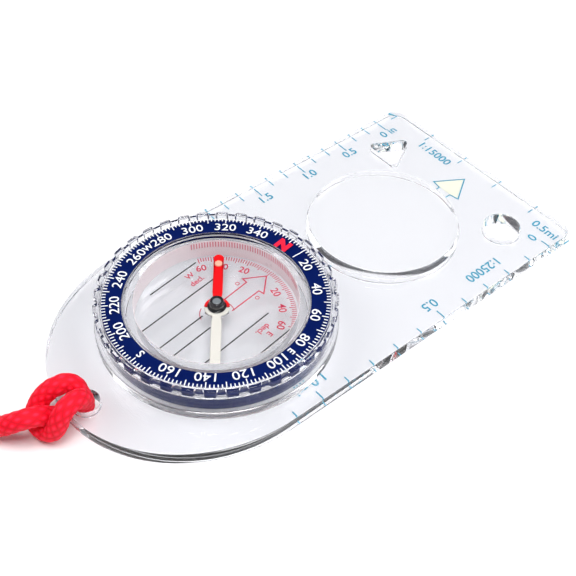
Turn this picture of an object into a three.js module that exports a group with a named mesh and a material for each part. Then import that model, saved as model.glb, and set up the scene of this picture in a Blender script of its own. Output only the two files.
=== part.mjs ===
// A baseplate compass: a clear plate with a magnifier, a rotating clear dial on a fixed blue index ring,
// a balanced needle inside a clear capsule, and a red wrist lanyard hitched to the rear of the plate.
// Millimetres. +X is the direction of travel, +Y the side with the inch scale, +Z up, the plate on z = 0.
import * as THREE from "three";

// ---- plate ----
const PLATE_LENGTH = 110.0;
const PLATE_WIDTH = 55.0;
const PLATE_THICKNESS = 3.0;
const PLATE_FRONT_RADIUS = 3.2;
const PLATE_REAR_LENGTH = 30.9;
const PLATE_EDGE_BEVEL = 0.25;
const LANYARD_HOLE_X = -50.3;
const LANYARD_HOLE_RADIUS = 3.2;
const CONTROL_HOLE_X = 43.6;
const CONTROL_HOLE_Y = -16.9;
const CONTROL_HOLE_RADIUS = 4.0;
const START_HOLE_BASE_X = 40.0;
const START_HOLE_TIP_X = 48.6;
const START_HOLE_Y = 16.9;
const START_HOLE_HALF_WIDTH = 4.7;
const START_HOLE_CORNER = 0.8;

// ---- magnifier ----
const LENS_X = 24.1;
const LENS_RADIUS = 16.1;
const LENS_SEAT_GAP = 0.3;
const LENS_BOTTOM = 0.3;
const LENS_EDGE_TOP = 3.9;
const LENS_CROWN = 5.1;

// ---- fixed dial seat ----
const DIAL_X = -20.5;
const SEAT_FOOT_RADIUS = 23.7;
const SEAT_WALL_RADIUS = 23.1;
const SEAT_INNER_RADIUS = 22.2;
const SEAT_BORE = 19.9;
const SEAT_BOTTOM = 3.3;
const SEAT_LEDGE = 4.0;
const SEAT_FOOT_TOP = 5.1;
const SEAT_TOP = 8.3;
const INDEX_RING_RADIUS = 21.9;
const INDEX_RING_SKIRT_INNER = 21.1;
const INDEX_RING_BORE = 18.15;
const INDEX_RING_BOTTOM = 4.3;
const INDEX_RING_FLANGE = 9.0;
const INDEX_RING_TOP = 9.5;

// ---- rotating bezel with finger grips ----
const GRIP_COUNT = 36;
const GRIP_RADIUS = 23.4;
const GRIP_VALLEY_RADIUS = 22.75;
const GRIP_TAB_ANGLE = 4.6;
const GRIP_FLANK_ANGLE = 1.1;
const BEZEL_BORE = 17.95;
const BEZEL_RIM_INNER = 22.2;
const BEZEL_WEB_BOTTOM = 9.85;
const BEZEL_BOTTOM = 8.7;
const BEZEL_TOP = 10.45;
const BEZEL_BEVEL = 0.25;

// ---- capsule ----
const CUP_RADIUS = 17.6;
const CUP_INNER_RADIUS = 16.0;
const CUP_BOTTOM = 3.6;
const CUP_FLOOR = 4.9;
const CUP_TOP = 9.3;
const CUP_LIP_RADIUS = 18.9;
const CUP_LIP_BOTTOM = 7.9;
const CUP_LIP_TOP = 8.65;
const BOSS_RADIUS = 1.5;
const BOSS_TOP = 5.9;
const BOSS_RING_INNER = 2.9;
const BOSS_RING_OUTER = 3.6;
const BOSS_RING_TOP = 5.45;
const LID_BOTTOM = 9.6;
const LID_TOP = 10.6;

// ---- pivot and needle ----
const PIN_RADIUS = 0.45;
const PIN_BORE = 0.75;
const PIN_BORE_FLOOR = 5.2;
const PIN_BOTTOM = 5.5;
const PIN_SHOULDER = 6.7;
const PIN_TIP = 7.25;
const NEEDLE_HEADING = 51.2;
const NEEDLE_HALF_LENGTH = 14.5;
const NEEDLE_HALF_WIDTH = 1.0;
const NEEDLE_WAIST = 0.85;
const NEEDLE_EYE_RADIUS = 2.3;
const NEEDLE_EYE_BORE = 1.65;
const CORE_HALF_LENGTH = 13.6;
const CORE_HALF_WIDTH = 0.75;
const CORE_BOTTOM = 6.2;
const CORE_TOP = 6.5;
const COVER_BOTTOM = 6.8;
const COVER_TOP = 7.3;
const COVER_SPLIT = 0.15;
const LUME_DISTANCE = 11.7;
const LUME_RADIUS = 0.55;
const LUME_POCKET_RADIUS = 0.85;
const LUME_TOP = 7.4;
const HUB_RADIUS = 1.9;
const HUB_SLEEVE_RADIUS = 1.35;
const HUB_BORE = 1.05;
const HUB_BOTTOM = 6.35;
const HUB_FLANGE_BOTTOM = 7.6;
const HUB_TOP = 8.7;
const JEWEL_RADIUS = 0.75;
const JEWEL_BOTTOM = 7.3;
const JEWEL_CUP_TOP = 7.75;
const JEWEL_TOP = 8.5;

// ---- lanyard ----
const CORD_DIAMETER = 3.8;
const CORD_SIDES = 10;
const COIL_X = -95.9;
const COIL_Y = 14.9;
const COIL_INNER_RADIUS = 17.2;
const COIL_OUTER_RADIUS = 25.4;
const COIL_BOTTOM = 0.1;
const COIL_TOP = 7.6;
const END_KNOT_X = -0.2;
const END_KNOT_Y = -10.9;
const END_KNOT_RADIUS = 3.9;
const END_KNOT_HALF_LENGTH = 4.6;

const HITCH_ROUTE = [
  [-50.3, -0.6, 0.4],
  [-50.3, -0.6, 2.2],
  [-50.4, -0.3, 4.0],
  [-50.9, 0.8, 5.5],
  [-52.0, 2.6, 6.3],
  [-53.7, 4.4, 6.2],
  [-55.7, 5.7, 5.4],
  [-57.8, 6.2, 4.3],
  [-59.8, 5.6, 3.1],
  [-61.3, 4.0, 2.3],
  [-62.0, 2.0, 2.0],
  [-62.1, -0.2, 2.0],
  [-61.8, -2.4, 2.1],
  [-61.0, -4.3, 3.0],
  [-59.8, -5.3, 4.6],
  [-58.4, -5.0, 6.6],
  [-57.1, -3.7, 8.1],
  [-55.8, -2.4, 8.0],
  [-54.6, -1.5, 6.4],
];
const LEAD_ROUTE = [
  [-55.7, 0.2, 2.1],
  [-57.0, 0.0, 3.0],
  [-58.6, -0.2, 4.7],
  [-60.4, -0.3, 6.2],
  [-62.2, 0.1, 6.6],
  [-64.0, 1.3, 5.8],
  [-65.6, 3.2, 4.1],
  [-66.9, 5.4, 2.6],
  [-67.9, 7.6, 2.05],
  [-68.6, 9.6, 2.0],
];
const TAIL_ROUTE = [
  [-14.1, -5.1, 2.0],
  [-12.3, -8.4, 2.0],
  [-9.2, -10.5, 2.4],
  [-5.2, -10.9, 3.3],
];

const PAINT = {
  acrylic: { color: 0xe6eef2, roughness: 0.08, metalness: 0.0, transparent: true, opacity: 0.4 },
  lens: { color: 0xeff5f8, roughness: 0.04, metalness: 0.0, transparent: true, opacity: 0.35 },
  navy: { color: 0x0a1c6e, roughness: 0.35, metalness: 0.0 },
  steel: { color: 0xa9adb2, roughness: 0.3, metalness: 1.0 },
  red: { color: 0xd8141c, roughness: 0.35, metalness: 0.0 },
  white: { color: 0xe9e6dd, roughness: 0.4, metalness: 0.0 },
  black: { color: 0x0b0b0d, roughness: 0.3, metalness: 0.0 },
  jewel: { color: 0x8d949a, roughness: 0.1, metalness: 0.0 },
  lume: { color: 0xf0b9a0, roughness: 0.6, metalness: 0.0 },
  cord: { color: 0xd3062f, roughness: 0.85, metalness: 0.0 },
};

function radians(degrees) {
  return (degrees * Math.PI) / 180;
}

function piece(name, geometry, paint) {
  const mesh = new THREE.Mesh(geometry, new THREE.MeshStandardMaterial(PAINT[paint]));
  mesh.name = name;
  return mesh;
}

// Turns a closed [radius, height] profile, counter-clockwise as seen with the axis on the left, about Z.
function turned(profile, segments = 60) {
  const points = profile.map(([radius, height]) => new THREE.Vector2(radius, height));
  return new THREE.LatheGeometry(points, segments).rotateX(Math.PI / 2);
}

// A flat outline raised from bottom to top, its edges broken by a small bevel.
function raised(shape, bottom, top, bevel = 0) {
  const geometry = new THREE.ExtrudeGeometry(shape, {
    depth: top - bottom - 2 * bevel,
    bevelEnabled: bevel > 0,
    bevelThickness: bevel,
    bevelSize: bevel,
    bevelOffset: -bevel,
    bevelSegments: 1,
    curveSegments: 12,
  });
  return geometry.translate(0, 0, bottom + bevel);
}

function roundHole(x, y, radius, points = 40) {
  const hole = new THREE.Path();
  for (let i = 0; i < points; i += 1) {
    const angle = (-2 * Math.PI * i) / points;
    const px = x + radius * Math.cos(angle);
    const py = y + radius * Math.sin(angle);
    if (i === 0) hole.moveTo(px, py);
    else hole.lineTo(px, py);
  }
  hole.closePath();
  return hole;
}

// A corner of a polygon rounded off, as a run of points.
function roundedCorner(before, corner, after, radius, steps) {
  const inward = before.clone().sub(corner).normalize();
  const onward = after.clone().sub(corner).normalize();
  const half = Math.acos(inward.dot(onward)) / 2;
  const reach = radius / Math.tan(half);
  const start = corner.clone().addScaledVector(inward, reach);
  const end = corner.clone().addScaledVector(onward, reach);
  const points = [];
  for (let i = 0; i <= steps; i += 1) {
    const t = i / steps;
    const a = start.clone().lerp(corner, t);
    const b = corner.clone().lerp(end, t);
    points.push(a.lerp(b, t));
  }
  return points;
}

function startHole() {
  const corners = [
    new THREE.Vector2(START_HOLE_BASE_X, START_HOLE_Y - START_HOLE_HALF_WIDTH),
    new THREE.Vector2(START_HOLE_BASE_X, START_HOLE_Y + START_HOLE_HALF_WIDTH),
    new THREE.Vector2(START_HOLE_TIP_X, START_HOLE_Y),
  ];
  const points = corners.flatMap((corner, i) =>
    roundedCorner(corners[(i + 2) % 3], corner, corners[(i + 1) % 3], START_HOLE_CORNER, 4),
  );
  return new THREE.Path(points);
}

// The plate's outline: square front with small corners, straight sides, a half ellipse at the rear.
function plateShape() {
  const front = PLATE_LENGTH / 2;
  const side = PLATE_WIDTH / 2;
  const rearCentre = -front + PLATE_REAR_LENGTH;
  const points = [];
  for (let i = 0; i <= 40; i += 1) {
    const angle = Math.PI / 2 + (Math.PI * i) / 40;
    const x = rearCentre + PLATE_REAR_LENGTH * Math.cos(angle);
    points.push(new THREE.Vector2(x, side * Math.sin(angle)));
  }
  for (const turn of [-1, 1]) {
    const corner = new THREE.Vector2(front, turn * side);
    const before = turn < 0 ? new THREE.Vector2(0, -side) : new THREE.Vector2(front, 0);
    const after = turn < 0 ? new THREE.Vector2(front, 0) : new THREE.Vector2(0, side);
    points.push(...roundedCorner(before, corner, after, PLATE_FRONT_RADIUS, 6));
  }
  const shape = new THREE.Shape(points);
  shape.holes.push(roundHole(LENS_X, 0, LENS_RADIUS + LENS_SEAT_GAP, 60));
  shape.holes.push(roundHole(CONTROL_HOLE_X, CONTROL_HOLE_Y, CONTROL_HOLE_RADIUS, 28));
  shape.holes.push(roundHole(LANYARD_HOLE_X, 0, LANYARD_HOLE_RADIUS, 24));
  shape.holes.push(startHole());
  return shape;
}

function basePlate() {
  return piece("base_plate", raised(plateShape(), 0, PLATE_THICKNESS, PLATE_EDGE_BEVEL), "acrylic");
}

// The magnifier: flat below, a short straight edge, and a shallow spherical crown.
function magnifier() {
  const rise = LENS_CROWN - LENS_EDGE_TOP;
  const sphere = (LENS_RADIUS ** 2 + rise ** 2) / (2 * rise);
  const profile = [[0, LENS_BOTTOM], [LENS_RADIUS, LENS_BOTTOM]];
  for (let i = 0; i <= 7; i += 1) {
    const radius = LENS_RADIUS * (1 - i / 7);
    const height = LENS_CROWN - sphere + Math.sqrt(sphere ** 2 - radius ** 2);
    profile.push([radius, height]);
  }
  const lens = piece("magnifier_lens", turned(profile), "lens");
  lens.position.x = LENS_X;
  return lens;
}

function seatCollar() {
  const profile = [
    [SEAT_BORE, SEAT_BOTTOM],
    [SEAT_FOOT_RADIUS - 0.2, SEAT_BOTTOM],
    [SEAT_FOOT_RADIUS, SEAT_BOTTOM + 0.2],
    [SEAT_FOOT_RADIUS, SEAT_FOOT_TOP - 0.3],
    [SEAT_FOOT_RADIUS - 0.3, SEAT_FOOT_TOP],
    [SEAT_WALL_RADIUS, SEAT_FOOT_TOP],
    [SEAT_WALL_RADIUS, SEAT_TOP - 0.2],
    [SEAT_WALL_RADIUS - 0.2, SEAT_TOP],
    [SEAT_INNER_RADIUS, SEAT_TOP],
    [SEAT_INNER_RADIUS, SEAT_LEDGE],
    [SEAT_BORE, SEAT_LEDGE],
    [SEAT_BORE, SEAT_BOTTOM],
  ];
  return piece("seat_collar", turned(profile), "acrylic");
}

function indexRing() {
  const profile = [
    [INDEX_RING_SKIRT_INNER, INDEX_RING_BOTTOM],
    [INDEX_RING_RADIUS, INDEX_RING_BOTTOM],
    [INDEX_RING_RADIUS, INDEX_RING_TOP],
    [INDEX_RING_BORE, INDEX_RING_TOP],
    [INDEX_RING_BORE, INDEX_RING_FLANGE],
    [INDEX_RING_SKIRT_INNER, INDEX_RING_FLANGE],
    [INDEX_RING_SKIRT_INNER, INDEX_RING_BOTTOM],
  ];
  return piece("index_ring", turned(profile), "navy");
}

// The angle and outer radius of each station round the bezel: raised tabs with sloping flanks.
function gripStations() {
  const pitch = 360 / GRIP_COUNT;
  const stations = [];
  for (let i = 0; i < GRIP_COUNT; i += 1) {
    const centre = i * pitch;
    const tab = GRIP_TAB_ANGLE / 2;
    const foot = tab + GRIP_FLANK_ANGLE;
    stations.push(
      [centre - foot, GRIP_VALLEY_RADIUS],
      [centre - tab, GRIP_RADIUS],
      [centre, GRIP_RADIUS],
      [centre + tab, GRIP_RADIUS],
      [centre + foot, GRIP_VALLEY_RADIUS],
    );
  }
  return stations;
}

// The bezel: a thin flat web over the index ring, which carries the numbers, and a skirt with the grips.
function bezelProfile(outer) {
  return [
    [BEZEL_BORE, BEZEL_WEB_BOTTOM],
    [BEZEL_RIM_INNER, BEZEL_WEB_BOTTOM],
    [BEZEL_RIM_INNER, BEZEL_BOTTOM],
    [outer - BEZEL_BEVEL, BEZEL_BOTTOM],
    [outer, BEZEL_BOTTOM + BEZEL_BEVEL],
    [outer, BEZEL_TOP - BEZEL_BEVEL],
    [outer - BEZEL_BEVEL, BEZEL_TOP],
    [BEZEL_BORE, BEZEL_TOP],
  ];
}

function gripBezel() {
  const stations = gripStations();
  const positions = [];
  for (const [angle, outer] of stations) {
    const a = radians(angle);
    for (const [radius, height] of bezelProfile(outer)) {
      positions.push(radius * Math.cos(a), radius * Math.sin(a), height);
    }
  }
  const rows = bezelProfile(GRIP_RADIUS).length;
  const index = [];
  for (let i = 0; i < stations.length; i += 1) {
    const j = (i + 1) % stations.length;
    for (let k = 0; k < rows; k += 1) {
      const next = (k + 1) % rows;
      const corners = [i * rows + k, j * rows + k, j * rows + next, i * rows + next];
      index.push(corners[0], corners[1], corners[2], corners[0], corners[2], corners[3]);
    }
  }
  const geometry = new THREE.BufferGeometry();
  geometry.setAttribute("position", new THREE.Float32BufferAttribute(positions, 3));
  geometry.setIndex(index);
  geometry.computeVertexNormals();
  return piece("grip_bezel", geometry, "acrylic");
}

// The capsule's cup: its lip is held under the index ring's flange, so the dial turns but can't lift out.
function capsuleCup() {
  const profile = [
    [0, CUP_BOTTOM],
    [CUP_RADIUS, CUP_BOTTOM],
    [CUP_RADIUS, CUP_LIP_BOTTOM],
    [CUP_LIP_RADIUS, CUP_LIP_BOTTOM],
    [CUP_LIP_RADIUS, CUP_LIP_TOP],
    [CUP_RADIUS, CUP_LIP_TOP],
    [CUP_RADIUS, CUP_TOP],
    [CUP_INNER_RADIUS, CUP_TOP],
    [CUP_INNER_RADIUS, CUP_FLOOR + 0.5],
    [CUP_INNER_RADIUS - 0.5, CUP_FLOOR],
    [BOSS_RING_OUTER, CUP_FLOOR],
    [BOSS_RING_OUTER, BOSS_RING_TOP],
    [BOSS_RING_INNER, BOSS_RING_TOP],
    [BOSS_RING_INNER, CUP_FLOOR],
    [BOSS_RADIUS, CUP_FLOOR],
    [BOSS_RADIUS, BOSS_TOP],
    [PIN_BORE, BOSS_TOP],
    [PIN_BORE, PIN_BORE_FLOOR],
    [0, PIN_BORE_FLOOR],
  ];
  return piece("capsule_cup", turned(profile), "acrylic");
}

function capsuleLid() {
  const profile = [
    [0, LID_BOTTOM],
    [CUP_RADIUS, LID_BOTTOM],
    [CUP_RADIUS, LID_TOP - 0.25],
    [CUP_RADIUS - 0.25, LID_TOP],
    [0, LID_TOP],
  ];
  return piece("capsule_lid", turned(profile), "acrylic");
}

function pivotPin() {
  const profile = [
    [0, PIN_BOTTOM],
    [PIN_RADIUS, PIN_BOTTOM],
    [PIN_RADIUS, PIN_SHOULDER],
    [0.08, PIN_TIP - 0.05],
    [0, PIN_TIP],
  ];
  return piece("pivot_pin", turned(profile, 20), "steel");
}

// Half a needle with a rounded tip, a slight waist and half the eye round the hub. side is 1 or -1.
function coverShape(side) {
  const eye = NEEDLE_EYE_RADIUS;
  const waistX = Math.sqrt(eye ** 2 - NEEDLE_WAIST ** 2);
  const tipCentre = NEEDLE_HALF_LENGTH - NEEDLE_HALF_WIDTH;
  const outline = [];
  for (let i = 0; i <= 8; i += 1) {
    const angle = -Math.PI / 2 + (Math.PI * i) / 8;
    outline.push([tipCentre + NEEDLE_HALF_WIDTH * Math.cos(angle), NEEDLE_HALF_WIDTH * Math.sin(angle)]);
  }
  outline.push([waistX + 1.6, NEEDLE_HALF_WIDTH]);
  outline.push([waistX, NEEDLE_WAIST]);
  const startAngle = Math.asin(NEEDLE_WAIST / eye);
  const endAngle = Math.acos(COVER_SPLIT / eye);
  for (let i = 1; i <= 5; i += 1) {
    const angle = startAngle + ((endAngle - startAngle) * i) / 5;
    outline.push([eye * Math.cos(angle), eye * Math.sin(angle)]);
  }
  const bore = Math.acos(COVER_SPLIT / NEEDLE_EYE_BORE);
  for (let i = 0; i <= 10; i += 1) {
    const angle = bore - (2 * bore * i) / 10;
    outline.push([NEEDLE_EYE_BORE * Math.cos(angle), NEEDLE_EYE_BORE * Math.sin(angle)]);
  }
  for (let i = 5; i >= 1; i -= 1) {
    const angle = startAngle + ((endAngle - startAngle) * i) / 5;
    outline.push([eye * Math.cos(angle), -eye * Math.sin(angle)]);
  }
  outline.push([waistX, -NEEDLE_WAIST]);
  outline.push([waistX + 1.6, -NEEDLE_HALF_WIDTH]);
  return new THREE.Shape(outline.map(([x, y]) => new THREE.Vector2(side * x, side * y)));
}

function northCover() {
  const shape = coverShape(1);
  shape.holes.push(roundHole(LUME_DISTANCE, 0, LUME_POCKET_RADIUS, 20));
  return piece("needle_north", raised(shape, COVER_BOTTOM, COVER_TOP), "red");
}

function southCover() {
  return piece("needle_south", raised(coverShape(-1), COVER_BOTTOM, COVER_TOP), "white");
}

function needleCore() {
  const shape = new THREE.Shape([
    new THREE.Vector2(-CORE_HALF_LENGTH, -CORE_HALF_WIDTH),
    new THREE.Vector2(-NEEDLE_EYE_RADIUS, -CORE_HALF_WIDTH),
    new THREE.Vector2(-1.2, -NEEDLE_EYE_RADIUS),
    new THREE.Vector2(1.2, -NEEDLE_EYE_RADIUS),
    new THREE.Vector2(NEEDLE_EYE_RADIUS, -CORE_HALF_WIDTH),
    new THREE.Vector2(CORE_HALF_LENGTH, -CORE_HALF_WIDTH),
    new THREE.Vector2(CORE_HALF_LENGTH, CORE_HALF_WIDTH),
    new THREE.Vector2(NEEDLE_EYE_RADIUS, CORE_HALF_WIDTH),
    new THREE.Vector2(1.2, NEEDLE_EYE_RADIUS),
    new THREE.Vector2(-1.2, NEEDLE_EYE_RADIUS),
    new THREE.Vector2(-NEEDLE_EYE_RADIUS, CORE_HALF_WIDTH),
    new THREE.Vector2(-CORE_HALF_LENGTH, CORE_HALF_WIDTH),
  ]);
  shape.holes.push(roundHole(0, 0, NEEDLE_EYE_BORE, 20));
  return piece("needle_core", raised(shape, CORE_BOTTOM, CORE_TOP), "steel");
}

function needleHub() {
  const profile = [
    [HUB_BORE, HUB_BOTTOM],
    [HUB_SLEEVE_RADIUS, HUB_BOTTOM],
    [HUB_SLEEVE_RADIUS, HUB_FLANGE_BOTTOM],
    [HUB_RADIUS, HUB_FLANGE_BOTTOM],
    [HUB_RADIUS, HUB_TOP - 0.5],
    [HUB_RADIUS - 0.2, HUB_TOP - 0.15],
    [HUB_RADIUS - 0.5, HUB_TOP],
    [HUB_BORE, HUB_TOP],
    [HUB_BORE, HUB_BOTTOM],
  ];
  return piece("needle_hub", turned(profile, 32), "black");
}

// The bearing jewel: a small cylinder with a conical cup below, in which the pin's tip sits.
function needleJewel() {
  const profile = [
    [0, JEWEL_CUP_TOP],
    [0.5, JEWEL_BOTTOM],
    [JEWEL_RADIUS, JEWEL_BOTTOM],
    [JEWEL_RADIUS, JEWEL_TOP - 0.1],
    [JEWEL_RADIUS - 0.1, JEWEL_TOP],
    [0, JEWEL_TOP],
  ];
  return piece("needle_jewel", turned(profile, 24), "jewel");
}

function lumeDot() {
  const profile = [
    [0, COVER_BOTTOM],
    [LUME_RADIUS, COVER_BOTTOM],
    [LUME_RADIUS, LUME_TOP - 0.1],
    [0, LUME_TOP],
  ];
  const dot = piece("needle_lume_dot", turned(profile, 20), "lume");
  dot.position.x = LUME_DISTANCE;
  return dot;
}

// A cord swept along a run of points.
function cordAlong(route, steps, diameter = CORD_DIAMETER) {
  const curve = new THREE.CatmullRomCurve3(route.map((p) => new THREE.Vector3(...p)), false, "centripetal");
  const ring = [];
  for (let i = 0; i < CORD_SIDES; i += 1) {
    const angle = (2 * Math.PI * i) / CORD_SIDES;
    ring.push(new THREE.Vector2((diameter / 2) * Math.cos(angle), (diameter / 2) * Math.sin(angle)));
  }
  return new THREE.ExtrudeGeometry(new THREE.Shape(ring), { steps, extrudePath: curve, bevelEnabled: false });
}

// The spare cord put away as a neat coil: one ring with rounded corners.
function lanyardCoil() {
  const corner = CORD_DIAMETER / 2;
  const profile = [];
  const centres = [
    [COIL_OUTER_RADIUS - corner, COIL_BOTTOM + corner, -90],
    [COIL_OUTER_RADIUS - corner, COIL_TOP - corner, 0],
    [COIL_INNER_RADIUS + corner, COIL_TOP - corner, 90],
    [COIL_INNER_RADIUS + corner, COIL_BOTTOM + corner, 180],
  ];
  for (const [radius, height, from] of centres) {
    for (let i = 0; i <= 2; i += 1) {
      const a = radians(from + 45 * i);
      profile.push([radius + corner * Math.cos(a), height + corner * Math.sin(a)]);
    }
  }
  profile.push(profile[0]);
  return piece("lanyard_coil", turned(profile, 40), "cord");
}

// The stopper knot at the free end: a short barrel lying along the end of the cord.
function endKnot() {
  const profile = [[0, -END_KNOT_HALF_LENGTH]];
  for (let i = 1; i < 9; i += 1) {
    const t = -1 + (2 * i) / 9;
    profile.push([END_KNOT_RADIUS * (1 - Math.abs(t) ** 2.6) ** 0.5, END_KNOT_HALF_LENGTH * t]);
  }
  profile.push([0, END_KNOT_HALF_LENGTH]);
  const knot = piece("lanyard_end_knot", turned(profile, 20), "cord");
  knot.rotation.y = Math.PI / 2;
  knot.position.set(END_KNOT_X, END_KNOT_Y, END_KNOT_RADIUS + 0.1);
  return knot;
}

const compass = new THREE.Group();
compass.name = "baseplate_compass";

const dial = new THREE.Group();
dial.name = "dial_axis";
dial.position.x = DIAL_X;
dial.add(seatCollar(), indexRing(), gripBezel(), capsuleCup(), capsuleLid(), pivotPin());

const needle = new THREE.Group();
needle.name = "needle_axis";
needle.rotation.z = radians(NEEDLE_HEADING);
needle.add(needleCore(), northCover(), southCover(), needleHub(), needleJewel(), lumeDot());
dial.add(needle);

compass.add(basePlate(), magnifier(), dial);
compass.add(piece("lanyard_hitch", cordAlong(HITCH_ROUTE, 44), "cord"));
compass.add(piece("lanyard_lead", cordAlong(LEAD_ROUTE, 26), "cord"));

const storedCord = new THREE.Group();
storedCord.name = "stored_cord";
storedCord.position.set(COIL_X, COIL_Y, 0);
storedCord.add(lanyardCoil(), piece("lanyard_tail", cordAlong(TAIL_ROUTE, 8), "cord"), endKnot());
compass.add(storedCord);

export default compass;
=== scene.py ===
"""A baseplate compass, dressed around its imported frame.

The plate, the lens, the dial's seat and the lanyard ride on the body "base".
The grip bezel with its numbers and the capsule ride on "dial", and the needle on "needle".
+X is the direction of travel, +Y the side with the inch scale and +Z up. The scene is in metres,
and the pieces' classes give their sizes in millimetres.
"""

import logging
import math
from collections.abc import Iterable, Sequence
from dataclasses import dataclass, field
from enum import Enum

import bmesh
import bpy
from mathutils import Matrix, Vector
from mathutils.geometry import tessellate_polygon

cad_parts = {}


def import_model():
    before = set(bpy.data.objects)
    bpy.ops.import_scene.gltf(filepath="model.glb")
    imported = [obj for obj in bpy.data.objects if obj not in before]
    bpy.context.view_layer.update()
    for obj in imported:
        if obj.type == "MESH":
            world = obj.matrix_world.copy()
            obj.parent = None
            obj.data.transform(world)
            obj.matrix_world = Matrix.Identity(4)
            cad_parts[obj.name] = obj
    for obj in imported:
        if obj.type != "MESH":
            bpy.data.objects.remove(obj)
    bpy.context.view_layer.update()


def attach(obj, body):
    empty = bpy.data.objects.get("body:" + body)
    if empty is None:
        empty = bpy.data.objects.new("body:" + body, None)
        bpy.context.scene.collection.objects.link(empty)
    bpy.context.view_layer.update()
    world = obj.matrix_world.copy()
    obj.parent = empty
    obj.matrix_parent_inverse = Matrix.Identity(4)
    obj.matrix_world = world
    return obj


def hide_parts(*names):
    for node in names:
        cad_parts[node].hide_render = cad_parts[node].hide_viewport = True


MM = 0.001
LOG = logging.getLogger("compass")
Point2 = tuple[float, float]
Point3 = tuple[float, float, float]
Colour = tuple[float, float, float, float]

DIAL_X = -20.5
NORTH_ANGLE = math.radians(7.6)
NEEDLE_ANGLE = math.radians(51.2)
INCH = 25.4
MILE = 1609344.0
FLAT_COSINE = 0.9995
SHARP_ANGLE = math.radians(40)
COLOURLESS: Colour = (1.0, 1.0, 1.0, 1.0)


def srgb(red: int, green: int, blue: int) -> Colour:
    """Turns a screen colour, 0 to 255 a channel, into linear light."""

    def linear(channel: int) -> float:
        """Linear light of one channel."""
        share = channel / 255
        return share / 12.92 if share <= 0.04045 else ((share + 0.055) / 1.055) ** 2.4

    return (linear(red), linear(green), linear(blue), 1.0)


# ---------------------------------------------------------------- node trees


class Term:
    """A node's output, which adds Math nodes when it is used in arithmetic."""

    def __init__(self, graph: "Graph", socket: bpy.types.NodeSocket) -> None:
        """Args:
        graph: The tree that the socket belongs to.
        socket: The output that this term stands for.
        """
        self.graph = graph
        self.socket = socket

    def __add__(self, other: "Value") -> "Term":
        """self + other."""
        return self.graph.math("ADD", self, other)

    def __radd__(self, other: "Value") -> "Term":
        """other + self."""
        return self.graph.math("ADD", other, self)

    def __sub__(self, other: "Value") -> "Term":
        """self - other."""
        return self.graph.math("SUBTRACT", self, other)

    def __rsub__(self, other: "Value") -> "Term":
        """other - self."""
        return self.graph.math("SUBTRACT", other, self)

    def __mul__(self, other: "Value") -> "Term":
        """self * other."""
        return self.graph.math("MULTIPLY", self, other)

    def __rmul__(self, other: "Value") -> "Term":
        """other * self."""
        return self.graph.math("MULTIPLY", other, self)

    def __truediv__(self, other: "Value") -> "Term":
        """self / other."""
        return self.graph.math("DIVIDE", self, other)

    def __rtruediv__(self, other: "Value") -> "Term":
        """other / self."""
        return self.graph.math("DIVIDE", other, self)


Value = Term | float


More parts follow.
